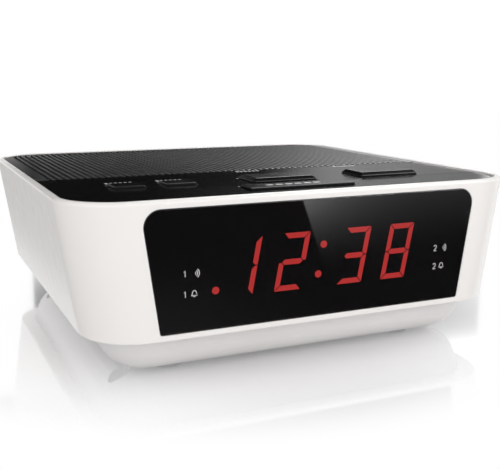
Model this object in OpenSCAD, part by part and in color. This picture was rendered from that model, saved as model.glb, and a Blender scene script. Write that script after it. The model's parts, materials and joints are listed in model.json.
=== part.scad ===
// Compact bedside clock radio: white sleeve, black ribbed deck, red four-digit display.
// Millimetres. +X is the user's right, -Y is the front, +Z is up. The origin is the centre of
// the footprint, on the surface that the feet stand on.

/* [Case] */
// Width over the rim
body_w = 135; // [132:1:170]
// Depth over the rim
body_d = 133.2; // [130:0.2:165]
// Height of the rim above the surface
rim_h = 48; // [47:0.5:60]
// Height of the sleeve's lower edge above the surface
skirt_h = 12.1; // [10:0.1:14]
// How far each side leans in from the rim to the lower edge
side_lean = 5.16; // [2:0.02:8]
// How far the front and the back lean in over the same height
end_lean = 0.55; // [0:0.05:1.5]
// Corner radius of the sleeve in plan
corner_r = 16; // [12:0.5:22]
// Wall of the sleeve
wall = 2.8; // [2.6:0.1:3.2]
// Chamfer along the top edge of the rim
rim_chamfer = 0.7; // [0.3:0.1:1]

/* [Deck] */
// Width of the white rim that shows around the deck
lip_w = 2.1; // [1.8:0.1:2.6]
// Thickness of the deck
deck_t = 2.6; // [2.2:0.1:3.2]
// How far the deck lies below the rim
deck_drop = 0.2; // [0:0.1:0.6]
// Depth of the sloping strip along the front
strip_d = 17.5; // [15:0.5:20]
// Fall of that strip at its front edge
strip_fall = 0.5; // [0.2:0.1:0.9]
// Distance from one rib to the next
rib_pitch = 2.065; // [1.8:0.005:3]
// Width of the groove between ribs
groove_w = 1.0; // [0.7:0.1:1.2]
// Depth of the groove between ribs
groove_depth = 0.7; // [0.3:0.1:1]
// Distance from the case's front to the ribs
ribs_from_front = 52.4; // [50:0.2:60]

/* [Keys] */
// Travel of the single keys and of the snooze bar
key_travel = 0.5; // [0.3:0.1:0.6]
// Width and depth of the two single keys
key_w = 8.6; // [7:0.1:10]
key_d = 7.7; // [6:0.1:8]
// How far the single keys stand above the deck
key_proud = 0.45; // [0.2:0.05:1]
// Distance of the centres of the two single keys to the left of the middle
source_key_x = 44.7; // [43:0.1:46]
set_key_x = 29.8; // [28:0.1:31]
// Length and depth of the rockers
rocker_w = 22.6; // [20:0.2:24]
rocker_d = 11.6; // [10:0.2:12]
// How far the rockers stand above the deck
rocker_proud = 1.15; // [0.6:0.05:1.6]
// Distance of the right rocker's centre to the right of the middle
volume_x = 35; // [33:0.5:36]
// Tilt of a rocker each way, in degrees
rocker_tilt = 2.5; // [1:0.5:2.5]
// Length and depth of the snooze bar
snooze_w = 32.2; // [28:0.2:34]
snooze_d = 7.5; // [6:0.1:8]
// Diameter of the rockers' steel pivot pins
pin_d = 1.6; // [1.2:0.1:1.8]

/* [Display] */
// Height of the window
window_h = 32; // [26.5:0.5:36]
// Height of the window's lower edge above the sleeve's lower edge
window_sill = 1.9; // [1.5:0.1:3]
// Half width of the window at its top and at its bottom
window_top = 49.45; // [47:0.05:51]
window_bottom = 45; // [43:0.05:47]
// Radius of the window's upper and lower corners
window_r = 4.3; // [3:0.1:6]
window_foot_r = 0.6; // [0.5:0.1:2]
// Thickness of the window
window_t = 1.8; // [1.5:0.1:2]
// Height, width and slant of a digit
digit_h = 15.5; // [13:0.1:17]
digit_w = 7.8; // [6.5:0.1:8.2]
digit_slant = 0.187; // [0:0.001:0.25]
// Width of one segment
segment_w = 1.45; // [1.1:0.05:1.7]
// Distance between the centres of two neighbouring digits
digit_pitch = 14; // [13.5:0.1:15]

/* [Base] */
// How far the base stands in from the sleeve's lower edge
base_inset = 4.5; // [3.5:0.1:6]
// Wall of the base
base_wall = 2.2; // [1.8:0.1:2.4]
// How far the base's sides lean in from top to bottom
base_lean = 4; // [2:0.5:5]
// Radius of the base's bottom edge
base_edge_r = 7; // [4:0.5:8]
// Height of the rubber feet below the base
foot_h = 0.8; // [0.5:0.1:1.2]
// Diameter of the rubber feet
foot_d = 9; // [7:0.5:10]

/* [Inside] */
// Diameter of the loudspeaker
speaker_d = 57; // [48:1:68]
// Travel of the loudspeaker's cone each way
cone_travel = 0.5; // [0.2:0.1:0.6]
// Length and diameter of a backup cell
cell_l = 44.5; // [43:0.5:46]
cell_d = 10.4; // [10:0.1:10.6]
// Travel of the battery door
door_travel = 9; // [6:0.5:12]
// Bore of the bush for the mains lead
cord_bore = 5.2; // [4:0.1:6]
// Bore for the aerial wire
aerial_bore = 2.4; // [2:0.1:3]
// Thickness of the circuit boards
board_t = 1.6; // [1:0.2:1.6]

/* [Hidden] */

eps = 0.01;
fit_gap = 0.15;    // between pieces that locate each other
move_gap = 0.3;    // between a moving piece and what it moves past
run_gap = 0.05;    // radial, between a pin and its bore
$fn = 48;
hull_fn = 32;
case_screw_r = 1.3;
case_screw_l = 18;
display_screw_r = 0.9;
core_screw_r = 1.1;
small_screw_r = 0.8;

// Sleeve
hw = body_w / 2;
hd = body_d / 2;
widest_z = rim_h - rim_chamfer;
sleeve_h = widest_z - skirt_h;
end_tilt = atan(end_lean / sleeve_h);
function side_x(z) = hw - side_lean * (widest_z - z) / sleeve_h;
function end_y(z) = hd - end_lean * (widest_z - z) / sleeve_h;

// Deck
deck_z = rim_h - deck_drop;
deck_under = deck_z - deck_t;
deck_hx = hw - lip_w;
deck_hy = hd - lip_w;
deck_r = corner_r - lip_w;
ledge_w = 3.2;
ledge_h = 3;
flange_t = 2.4;
crease_y = -deck_hy + strip_d;
ribs_y = -hd + ribs_from_front;
rib_side = 4.3;
rib_hx = deck_hx - rib_side;
rib_count = floor(rib_hx / rib_pitch);
rib_end_y = deck_hy - rib_side;

// Base
base_hx = side_x(skirt_h) - base_inset;
base_hy = end_y(skirt_h) - base_inset;
base_r = corner_r - base_inset + 1.5;
floor_z = foot_h + base_wall;
lip_t = 0.95;
lip_h = 1.8;
rim_overlap = base_wall - lip_t - fit_gap;
post_x = base_hx - 7.3;
post_y = base_hy - 15.8;
post_r = 3.6;
deck_post_r = 3.2;
post_top = skirt_h + flange_t - fit_gap;
screw_seat = 6.5;
foot_x = base_hx - base_lean - base_edge_r - foot_d / 2 - 5.3;
foot_y = base_hy - base_lean - base_edge_r - foot_d / 2 - 0.8;
foot_sink = 0.6;

// Keys, all on one level
key_y = -hd + 30.05;
rocker_y = -hd + 27.7;
snooze_y = -hd + 14.35;
flange_out = 1.2;
key_flange_t = 1;
key_flange_z = deck_under - move_gap - key_flange_t;
stem_r = 1.6;
keypad_top = deck_under - 2.4;
dome_h = 2.8;
dome_r = 3.2;
dome_top_r = 2.1;
sheet_t = 0.8;
rubber_t = 0.7;
key_board_top = keypad_top - dome_h;
rocker_reach = 7.5;
pivot_z = deck_under - 1.3;
pin_r = pin_d / 2;
hub_r = pin_r + 1.1;
lug_t = 1.6;
lug_gap = 0.45;
lug_w = 4;
rocker_slot = 0.45;
snooze_reach = 9;
snooze_proud = 0.25;
single_keys = [[-source_key_x, key_y], [-set_key_x, key_y]];
dome_places = concat(single_keys,
    [for (x = [0, volume_x], s = [-1, 1]) [x + s * rocker_reach, rocker_y]],
    [for (s = [-1, 1]) [s * snooze_reach, snooze_y]]);
key_screw_places = [[-18.5, key_y + 1.5], [17.4, key_y + 1.5],
    [-snooze_w / 2 - 4, snooze_y], [snooze_w / 2 + 4, snooze_y]];
key_boss_r = 2.2;

// Display, in the tilted frame of the front face: x, depth behind the face, height along it
window_z = skirt_h + window_sill + window_h / 2;
window_lean = atan((window_top - window_bottom) / window_h);
window_ledge = 2;
mask_t = 0.4;
led_w = 68;
led_h = window_h - 2 * window_ledge - 5.6;
led_t = 7;
led_x = 0;
led_z = -0.6;
led_front = window_t + 0.1;
led_back = led_front + led_t;
segment_t = 1.2;
segment_gap = 0.16;
digit_base = -8.5;
digit_mid_gap = 18.8;
digit_shift = -0.2;
colon_shift = 0.7;
dot_r = 1;
digit_x = [for (i = [-1.5, -0.5, 0.5, 1.5])
    digit_shift + i * digit_pitch + sign(i) * (digit_mid_gap - digit_pitch) / 2];
// Segments in the order top, upper right, lower right, bottom, lower left, upper left, middle
lit = [[0, 1, 1, 0, 0, 0, 0], [1, 1, 0, 1, 1, 0, 1], [1, 1, 1, 1, 0, 0, 1], [1, 1, 1, 1, 1, 1, 1]];
dot_places = [[-28.3, 2.2], [33.2, 2.2]];
display_boss_r = 2.6;
display_hx = 53;
display_hz = 12.8;
display_screw_places = [for (sx = [-1, 1], sz = [-1, 1]) [sx * 50.2, sz * 8.5]];

// Loudspeaker, hung under the deck
speaker_x = 8;
speaker_y = hd - 46.6;
speaker_r = speaker_d / 2;
speaker_ring_t = 4;
speaker_ring_h = 2;
speaker_top = deck_under - speaker_ring_h;
basket_t = 1;
frame_rim_t = 1.5;
basket_h = 12;
basket_r = 15;
magnet_r = 16;
magnet_h = 7.5;
coil_r = 5.2;
coil_gap = 0.5;
cone_t = 0.6;
cone_rim = speaker_r - speaker_ring_t - 3.9;
cone_tip = speaker_top - 1.8;
speaker_tab_r = speaker_r + 2.6;
speaker_ear_r = 2.4;
speaker_angles = [45, 135, 225, 315];

// Battery box, at the back of the base
box_wall = 1.5;
cell_gap = 0.6;
cell_pitch = cell_d + cell_gap;
contact_t = 0.4;
spring_l = 2.2;
box_x = 5;
box_hx = (cell_l + spring_l + 2 * contact_t) / 2;
box_hy = cell_d + cell_gap * 1.5;
box_y = base_hy - base_lean - base_edge_r - box_hy - box_wall;
door_t = 2.4;
door_lip = 1.1;
door_flange = 1.5;
door_flange_t = 1;
door_hx = box_hx + 1;
door_front = box_y - box_hy - 1;
door_back = base_hy - base_lean - base_edge_r;
cell_z = foot_h + door_t + move_gap + cell_d / 2 + 0.2;
box_top = cell_z + cell_d / 2 + 0.6;

// Main board
board_z = 9;
board_hx = base_hx - 11.8;
board_front = -base_hy + 6.8;
board_back = board_front + 49;
board_top = board_z + board_t;
board_screw_places = [for (sx = [-1, 1], y = [board_front + 4, board_back - 4])
    [sx * (board_hx - 4), y]];
plug_h = 3.5;
plug_d = 4;
board_boss_r = 3;
plug_top = board_top + plug_h;

// Transformer, at the back left
core_l = 35;
core_h = 30;
core_t = 16;
yoke = 6;
limb = 12;
winding_out = 5.2;
winding_gap = 0.3;
core_x = -base_hx + 22.8;
core_y = base_hy - 39.8;
bracket_t = 0.8;
bracket_z = floor_z + 1.5;
core_z = bracket_z + bracket_t;
ear_l = 7;
core_boss_r = 3.6;
supply_x = core_x + core_t / 2 + winding_out / 2;

// Bushes in the back wall
gland_x = -30;
gland_z = 24;
gland_r = 3.9;
gland_collar_r = 5.4;
gland_face = end_y(gland_z) + 0.08;
gland_seat = gland_face - 1.3;
gland_inner = gland_seat - 5;
aerial_x = 48;

// ---------- shapes that repeat ----------

module plan(hx, hy, r) {
    square([2 * hx, 2 * (hy - r)], center = true);
    square([2 * (hx - r), 2 * hy], center = true);
    for (sx = [-1, 1], sy = [-1, 1]) translate([sx * (hx - r), sy * (hy - r)]) circle(r);
}

module plate(hx, hy, r, z0, z1) {
    translate([0, 0, z0]) linear_extrude(z1 - z0) plan(hx, hy, r);
}

// The sleeve's leaning outline, set in by inset, as one thin slice at height z
module sleeve_slice(inset, z) {
    translate([0, 0, z]) linear_extrude(eps)
        plan(side_x(z) - inset, end_y(z) - inset, corner_r - inset, $fn = hull_fn);
}

// How far the base's outline is set in at height z, with its rounded bottom edge
function base_in(z, r) = base_lean * (skirt_h - z) / (skirt_h - foot_h)
    + (z < foot_h + r ? r - sqrt(r * r - pow(foot_h + r - z, 2)) : 0);

module base_solid(inset, z0, z1) {
    hull() {
        for (i = [0:6]) {
            z = z0 + (base_edge_r - inset) * (1 - cos(i * 15));
            off = base_in(z - z0 + foot_h, base_edge_r - inset) + inset;
            translate([0, 0, z]) linear_extrude(eps)
                plan(base_hx - off, base_hy - off, max(2, base_r - off), $fn = hull_fn);
        }
        translate([0, 0, z1 - eps]) linear_extrude(eps)
            plan(base_hx - inset, base_hy - inset, base_r - inset, $fn = hull_fn);
    }
}

// A round bar along Z, from z0 to z1
module rod(r, z0, z1) {
    translate([0, 0, z0]) cylinder(r = r, h = z1 - z0);
}

// The same along Y, from y0 to y1
module rod_y(r, y0, y1) {
    translate([0, y0, 0]) rotate([-90, 0, 0]) cylinder(r = r, h = y1 - y0);
}

module block(x0, x1, y0, y1, z0, z1) {
    translate([x0, y0, z0]) cube([x1 - x0, y1 - y0, z1 - z0]);
}

// A pan-head screw with a cross recess. Its head sits on z = 0 and points down.
module screw(shank_r, length) {
    head_r = shank_r * 1.9;
    head_h = shank_r * 1.3;
    slot_w = shank_r * 0.45;
    difference() {
        rotate_extrude() polygon([[0, -head_h], [head_r * 0.75, -head_h], [head_r, -head_h * 0.5],
            [head_r, 0], [shank_r, 0], [shank_r, length - shank_r], [shank_r * 0.3, length], [0, length]]);
        for (a = [0, 90]) rotate(a) translate([0, 0, -head_h])
            cube([head_r * 1.1, slot_w, head_h], center = true);
    }
}

// Puts its children in the frame of the front face
module on_front() {
    translate([0, -end_y(window_z), window_z]) rotate([end_tilt, 0, 0]) children();
}

module front_plate(d0, d1) {
    translate([0, d1, 0]) rotate([90, 0, 0]) linear_extrude(d1 - d0) children();
}

function arc(x, y, r, a0, a1) = [for (i = [0:6]) [x + r * cos(a0 + (a1 - a0) * i / 6),
    y + r * sin(a0 + (a1 - a0) * i / 6)]];
function window_edge(z) = (window_top + window_bottom) / 2 + z * tan(window_lean);
function corner_x(z, r) = window_edge(z) - r / cos(window_lean);
function window_half() = let (low = -window_h / 2 + window_foot_r, high = window_h / 2 - window_r) concat(
    arc(corner_x(low, window_foot_r), low, window_foot_r, -90, -window_lean),
    arc(corner_x(high, window_r), high, window_r, -window_lean, 90));

// Outline of the window, grown by g
module window_shape(g) {
    right = window_half();
    offset(delta = g) polygon(concat(right, [for (i = [len(right) - 1:-1:0]) [-right[i][0], right[i][1]]]));
}

// ---------- digits ----------

function slant(p) = [p[0] + digit_slant * p[1], p[1]];
// One segment of a digit as an upright outline, by its place in the order above
function segment(k) = let (w = digit_w / 2, h = digit_h, m = digit_h / 2, t = segment_w, e = segment_gap)
    k == 0 ? [[-w + e, h], [w - e, h], [w - t - e, h - t], [-w + t + e, h - t]] :
    k == 1 ? [[w, h - e], [w, m + e], [w - t / 2, m + e], [w - t, m + t / 2 + e], [w - t, h - t - e]] :
    k == 2 ? [for (p = segment(1)) [p[0], h - p[1]]] :
    k == 3 ? [for (p = segment(0)) [p[0], h - p[1]]] :
    k == 4 ? [for (p = segment(2)) [-p[0], p[1]]] :
    k == 5 ? [for (p = segment(1)) [-p[0], p[1]]] :
    [[-w + t / 2 + e, m], [-w + t + e, m + t / 2], [w - t - e, m + t / 2], [w - t / 2 - e, m],
     [w - t - e, m - t / 2], [-w + t + e, m - t / 2]];

// The segments whose state is on (1) or off (0), each grown by g
module segments(state, g = 0) {
    for (d = [0:3], k = [0:6]) if (lit[d][k] == state)
        translate([digit_x[d], digit_base]) offset(delta = g) polygon([for (p = segment(k)) slant(p)]);
    if (state == 1) for (h = [0.23, 0.75])
        translate([digit_shift + colon_shift - 1.5 + digit_slant * digit_h * h, digit_base + digit_h * h])
            circle(dot_r + g);
    for (i = [0, 1]) if (i == 1 - state)
        translate([dot_places[i][0] - 1.6, digit_base + dot_places[i][1]]) circle(dot_r + g);
}

// ---------- case ----------

module housing_shell() {
    color("whitesmoke") difference() {
        union() {
            difference() {
                hull() {
                    sleeve_slice(0, skirt_h);
                    sleeve_slice(0, rim_h - rim_chamfer);
                    sleeve_slice(rim_chamfer, rim_h - eps);
                }
                hull() {
                    sleeve_slice(wall, skirt_h + flange_t);
                    sleeve_slice(wall, deck_under - ledge_h - eps);
                }
            }
            on_front() for (p = display_screw_places) translate([p[0], 0, p[1]])
                rod_y(display_boss_r, wall - 0.4, led_back);
        }
        plate(deck_hx, deck_hy, deck_r, deck_under, rim_h + 1);
        plate(deck_hx - ledge_w, deck_hy - ledge_w, deck_r - ledge_w,
            deck_under - ledge_h - 1, deck_under + 1);
        plate(base_hx - rim_overlap, base_hy - rim_overlap, base_r - rim_overlap,
            skirt_h - 1, skirt_h + flange_t + 1);
        on_front() {
            front_plate(-2, window_t) window_shape(fit_gap);
            front_plate(0, wall + 0.3) window_shape(-window_ledge);
            for (p = display_screw_places) translate([p[0], 0, p[1]])
                rod_y(display_screw_r, wall, led_back + 1);
        }
        translate([gland_x, 0, gland_z]) {
            rod_y(gland_collar_r + fit_gap, gland_seat, hd + 1);
            rod_y(gland_r + run_gap, gland_inner, hd + 1);
        }
        translate([aerial_x, 0, gland_z]) rod_y(aerial_bore / 2, gland_inner, hd + 1);
    }
}

module grooves() {
    for (i = [-rib_count:rib_count - 1]) {
        x = (i + 0.5) * rib_pitch;
        // Near the rounded back corners a groove stops where the margin does
        over = max(0, abs(x) - (deck_hx - deck_r));
        y1 = deck_hy - deck_r + sqrt(pow(deck_r - rib_side, 2) - pow(min(over, deck_r - rib_side), 2));
        block(x - groove_w / 2, x + groove_w / 2, ribs_y, min(rib_end_y, y1),
            deck_z - groove_depth, deck_z + 1);
    }
}

// Slots through the deck, in the grooves above the loudspeaker
module sound_slots() {
    open_r = speaker_r - speaker_ring_t - 2;
    for (i = [-rib_count:rib_count - 1]) {
        x = (i + 0.5) * rib_pitch;
        if (abs(x - speaker_x) < open_r - 2) {
            half = sqrt(pow(open_r, 2) - pow(x - speaker_x, 2));
            block(x - groove_w / 2 + 0.1, x + groove_w / 2 - 0.1, max(ribs_y + 1, speaker_y - half),
                min(rib_end_y - 1, speaker_y + half), deck_under - 1, deck_z);
        }
    }
}

module key_slot(x, y, w, d, gap) {
    block(x - w / 2 - gap, x + w / 2 + gap, y - d / 2 - gap, y + d / 2 + gap, deck_under - 1, deck_z + 1);
}

module top_deck() {
    color("#141414") difference() {
        union() {
            plate(deck_hx - fit_gap, deck_hy - fit_gap, deck_r - fit_gap, deck_under, deck_z);
            for (sx = [-1, 1], sy = [-1, 1]) translate([sx * post_x, sy * post_y, 0])
                rod(deck_post_r, post_top, deck_under + eps);
            for (p = key_screw_places) translate(p) rod(key_boss_r, key_board_top, deck_under + eps);
            translate([speaker_x, speaker_y, 0]) {
                rod(speaker_r, speaker_top, deck_under + eps);
                for (a = speaker_angles) rotate(a) translate([speaker_tab_r, 0, 0])
                    rod(speaker_ear_r, speaker_top, deck_under + eps);
            }
            for (x = [0, volume_x], s = [-1, 1]) {
                y = rocker_y + s * (rocker_d / 2 + lug_gap + lug_t / 2);
                block(x - lug_w / 2, x + lug_w / 2, y - lug_t / 2, y + lug_t / 2,
                    pivot_z - pin_r - 1, deck_under + eps);
            }
        }
        translate([speaker_x, speaker_y, 0]) {
            rod(speaker_r - speaker_ring_t, speaker_top - 1, deck_under);
            for (a = speaker_angles) rotate(a) translate([speaker_tab_r, 0, 0])
                rod(small_screw_r, speaker_top - 1, deck_under + 1);
        }
        translate([0, crease_y, deck_z]) rotate([atan(strip_fall / strip_d), 0, 0])
            translate([-hw, -2 * strip_d, 0]) cube([body_w, 2 * strip_d, 2]);
        for (p = single_keys) key_slot(p[0], p[1], key_w, key_d, move_gap);
        for (x = [0, volume_x]) {
            key_slot(x, rocker_y, rocker_w + 2 * (rocker_slot - move_gap), rocker_d, move_gap);
            translate([x, rocker_y, pivot_z]) rod_y(pin_r, -rocker_d, rocker_d);
        }
        key_slot(0, snooze_y, snooze_w, snooze_d, move_gap);
        grooves();
        sound_slots();
        for (sx = [-1, 1], sy = [-1, 1]) translate([sx * post_x, sy * post_y, 0])
            rod(case_screw_r, post_top - 1, screw_seat + case_screw_l + 1.5);
        for (p = key_screw_places) translate(p) rod(small_screw_r, key_board_top - 1, deck_under + 0.8);
    }
}

module door_space(grow) {
    block(box_x - door_hx - grow, box_x + door_hx + grow, door_front - grow, base_hy,
        foot_h - 1, foot_h + door_t + grow);
    block(box_x - door_hx - door_flange - grow, box_x + door_hx + door_flange + grow, door_front - grow,
        base_hy, foot_h + door_lip, foot_h + door_t + grow);
}

module base_tray() {
    box_floor = foot_h + door_t + move_gap;
    color("gainsboro") difference() {
        union() {
            difference() {
                base_solid(0, foot_h, skirt_h);
                base_solid(base_wall, floor_z, skirt_h + 1);
            }
            difference() {
                plate(base_hx - rim_overlap - fit_gap, base_hy - rim_overlap - fit_gap,
                    base_r - rim_overlap - fit_gap, skirt_h - 1.5, skirt_h + lip_h);
                plate(base_hx - base_wall, base_hy - base_wall, base_r - base_wall,
                    skirt_h - 2, skirt_h + lip_h + 1);
            }
            intersection() {
                union() {
                    for (sx = [-1, 1], sy = [-1, 1]) translate([sx * post_x, sy * post_y, 0])
                        rod(post_r, foot_h, post_top);
                    block(box_x - box_hx - 3.5, box_x + box_hx + 3.5, door_front - 2, door_back + 8,
                        foot_h + 1, box_floor + 1);
                    for (p = board_screw_places) translate(p) rod(board_boss_r, foot_h + 1, board_z);
                    for (s = [-1, 1]) translate([core_x, core_y + s * (core_l + ear_l) / 2, 0])
                        rod(core_boss_r, foot_h + 1, bracket_z);
                }
                union() {
                    base_solid(0, foot_h, skirt_h);
                    plate(base_hx - base_wall, base_hy - base_wall, base_r - base_wall,
                        skirt_h - 1, post_top + 1);
                }
            }
            block(box_x - box_hx - box_wall, box_x + box_hx + box_wall, box_y - box_hy - box_wall,
                box_y + box_hy + box_wall, floor_z, box_top + box_wall);
        }
        block(box_x - box_hx, box_x + box_hx, box_y - box_hy, box_y + box_hy, foot_h - 1, box_top);
        door_space(move_gap);
        for (sx = [-1, 1], sy = [-1, 1]) {
            translate([sx * post_x, sy * post_y, 0]) {
                rod(case_screw_r * 1.9 + 0.8, 0, screw_seat);
                rod(case_screw_r + 0.4, 0, post_top + 1);
            }
            translate([sx * foot_x, sy * foot_y, 0]) rod(foot_d / 2 + fit_gap, 0, foot_h + foot_sink);
        }
        for (p = board_screw_places) translate(p) rod(display_screw_r, floor_z + 0.5, board_z + 1);
        for (s = [-1, 1]) translate([core_x, core_y + s * (core_l + ear_l) / 2, 0])
            rod(core_screw_r, foot_h + 0.8, bracket_z + 1);
    }
}

module rubber_feet() {
    color("dimgray") for (sx = [-1, 1], sy = [-1, 1]) translate([sx * foot_x, sy * foot_y, 0])
        rotate_extrude() polygon([[0, 0], [foot_d / 2 - 0.4, 0], [foot_d / 2, 0.4],
            [foot_d / 2, foot_h + foot_sink], [0, foot_h + foot_sink]]);
}

module case_screws() {
    color("silver") for (sx = [-1, 1], sy = [-1, 1])
        translate([sx * post_x, sy * post_y, screw_seat]) screw(case_screw_r, case_screw_l);
}

module cord_gland() {
    bore = cord_bore / 2;
    neck = gland_seat - gland_inner;
    length = gland_face - gland_inner;
    color("#202020") translate([gland_x, gland_inner, gland_z]) rotate([-90, 0, 0]) rotate_extrude()
        polygon([[bore, 0], [gland_r, 0], [gland_r + 0.9, 0.6], [gland_r + 0.9, neck - wall + 1],
            [gland_r, neck - wall + 1], [gland_r, neck], [gland_collar_r, neck],
            [gland_collar_r, length - 0.4], [gland_collar_r - 0.4, length], [bore, length]]);
}

// ---------- display ----------

module display_window() {
    color([0.06, 0.05, 0.06, 0.8]) on_front() front_plate(0, window_t) window_shape(0);
}

module display_mask() {
    color("black") on_front() front_plate(window_t, window_t + mask_t) difference() {
        window_shape(-window_ledge - fit_gap);
        translate([led_x, led_z]) square([led_w + 2 * fit_gap, led_h + 2 * fit_gap], center = true);
    }
}

module led_reflector() {
    color("#181818") on_front() difference() {
        translate([led_x - led_w / 2, led_front, led_z - led_h / 2]) cube([led_w, led_t, led_h]);
        front_plate(0, led_front + segment_t) {
            segments(0);
            segments(1);
        }
    }
}

module led_segments_on() {
    color("red") on_front() front_plate(led_front, led_front + segment_t) segments(1);
}

module led_segments_off() {
    color("#401010") on_front() front_plate(led_front, led_front + segment_t) segments(0);
}

module display_board() {
    color("darkgreen") on_front() difference() {
        translate([-display_hx, led_back, -display_hz]) cube([2 * display_hx, board_t, 2 * display_hz]);
        for (p = display_screw_places) translate([p[0], 0, p[1]])
            rod_y(display_screw_r + fit_gap, led_back - 1, led_back + board_t + 1);
    }
}

module display_screws() {
    color("silver") on_front() for (p = display_screw_places)
        translate([p[0], led_back + board_t, p[1]]) rotate([90, 0, 0]) screw(display_screw_r, 6);
}

// ---------- keys ----------

module cap_section(half, z0, z1, run, fall) {
    polygon([[-half, z0], [half, z0], [half, z1 - fall], [half - run, z1],
        [-half + run, z1], [-half, z1 - fall]]);
}

// A key cap with chamfered top edges: its foot is at z0, its top at z1
module cap(w, d, z0, z1, end_run, end_fall, side_run) {
    intersection() {
        translate([0, d / 2, 0]) rotate([90, 0, 0]) linear_extrude(d)
            cap_section(w / 2, z0, z1, end_run, end_fall);
        translate([-w / 2, 0, 0]) rotate([90, 0, 90]) linear_extrude(w)
            cap_section(d / 2, z0, z1, side_run, side_run);
    }
}

// A key held under the deck by its flange, with a stem on each dome at reach
module push_key(w, d, proud, reach) {
    cap(w, d, key_flange_z, deck_z + proud, 0.5, 0.35, 0.35);
    block(-w / 2 - flange_out, w / 2 + flange_out, -d / 2 - flange_out, d / 2 + flange_out,
        key_flange_z, key_flange_z + key_flange_t);
    for (x = reach) translate([x, 0, 0]) rod(stem_r, keypad_top, key_flange_z + eps);
}

module source_key() {
    color("#1c1c1c") translate([-source_key_x, key_y, 0]) push_key(key_w, key_d, key_proud, [0]);
}

module set_key() {
    color("#1c1c1c") translate([-set_key_x, key_y, 0]) push_key(key_w, key_d, key_proud, [0]);
}

module snooze_bar() {
    color("#1c1c1c") translate([0, snooze_y, 0])
        push_key(snooze_w, snooze_d, snooze_proud, [-snooze_reach, snooze_reach]);
}

module rocker() {
    foot_z = deck_under + 0.2;
    difference() {
        union() {
            cap(rocker_w, rocker_d, foot_z, deck_z + rocker_proud, 2, 0.9, 0.6);
            translate([0, 0, pivot_z]) rod_y(hub_r, -rocker_d / 2, rocker_d / 2);
            block(-hub_r, hub_r, -rocker_d / 2, rocker_d / 2, pivot_z, foot_z + eps);
            for (s = [-1, 1]) translate([s * rocker_reach, 0, 0]) rod(stem_r, keypad_top, foot_z + eps);
        }
        translate([0, 0, pivot_z]) rod_y(pin_r + run_gap, -rocker_d, rocker_d);
    }
}

module tuning_rocker() {
    color("#1c1c1c") translate([0, rocker_y, 0]) rocker();
}

module volume_rocker() {
    color("#1c1c1c") translate([volume_x, rocker_y, 0]) rocker();
}

module rocker_pins() {
    reach = rocker_d / 2 + lug_gap + lug_t;
    color("silver") for (x = [0, volume_x]) translate([x, rocker_y, pivot_z]) rod_y(pin_r, -reach, reach);
}

// The T-shaped outline that the key board and the keypad share, set in by inset
module key_outline(inset) {
    front = rocker_y - dome_r - 0.3 + inset;
    back = key_y + 9.5 - inset;
    stem = snooze_w / 2 + 6.5 - inset;
    left = -source_key_x - 6.3 + inset;
    right = volume_x + rocker_reach + 5 - inset;
    translate([left, front]) square([right - left, back - front]);
    translate([-stem, snooze_y - 2.4 + inset]) square([2 * stem, front - snooze_y + 3]);
}

module rubber_keypad() {
    color("lightgray") {
        difference() {
            translate([0, 0, key_board_top]) linear_extrude(sheet_t) key_outline(0.8);
            for (p = key_screw_places) translate(p) rod(key_boss_r + move_gap, key_board_top - 1, keypad_top);
            for (p = dome_places) translate(p) rod(dome_r - rubber_t, key_board_top - 1, keypad_top);
        }
        for (p = dome_places) translate([p[0], p[1], key_board_top]) rotate_extrude()
            polygon([[dome_r - rubber_t, 0], [dome_r, 0], [dome_r, sheet_t], [dome_top_r, dome_h],
                [0, dome_h], [0, dome_h - 1.3], [dome_top_r - rubber_t, dome_h - 1.3],
                [dome_r - rubber_t, sheet_t]]);
    }
}

module key_board() {
    color("darkgreen") difference() {
        translate([0, 0, key_board_top - board_t]) linear_extrude(board_t) key_outline(0);
        for (p = key_screw_places) translate(p) rod(1.1, key_board_top - 3, key_board_top + 1);
    }
}

module key_board_screws() {
    color("silver") for (p = key_screw_places)
        translate([p[0], p[1], key_board_top - board_t]) screw(small_screw_r, 5);
}

// ---------- loudspeaker ----------

module speaker_frame() {
    foot = speaker_top - basket_h;
    rim_in = speaker_r - speaker_ring_t;
    color("dimgray") translate([speaker_x, speaker_y, 0]) difference() {
        union() {
            rotate_extrude() polygon([[coil_r + coil_gap + 0.5, foot - basket_t], [basket_r, foot - basket_t],
                [basket_r, foot], [rim_in + 1, speaker_top - frame_rim_t],
                [speaker_r, speaker_top - frame_rim_t],
                [speaker_r, speaker_top], [rim_in, speaker_top], [rim_in, speaker_top - 1],
                [basket_r - 1.2, foot], [coil_r + coil_gap + 0.5, foot]]);
            for (a = speaker_angles) rotate(a) {
                translate([speaker_tab_r, 0, 0]) rod(speaker_ear_r, speaker_top - frame_rim_t, speaker_top);
                block(speaker_r - 2, speaker_tab_r, -speaker_ear_r, speaker_ear_r,
                    speaker_top - frame_rim_t, speaker_top);
            }
        }
        for (a = speaker_angles) rotate(a) {
            translate([speaker_tab_r, 0, 0]) rod(1.1, speaker_top - 3, speaker_top + 1);
            rotate(45) block(basket_r - 3.5, rim_in + 2, -6, 6, foot + 2.5, speaker_top - 3);
        }
    }
}

module speaker_magnet() {
    top = speaker_top - basket_h - basket_t;
    color("gray") translate([speaker_x, speaker_y, 0]) difference() {
        rod(magnet_r, top - magnet_h, top);
        difference() {
            rod(coil_r + coil_gap, top - magnet_h + 1.5, top + 1);
            rod(coil_r - 2 * coil_gap, top - magnet_h + 1, top + 1);
        }
    }
}

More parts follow.
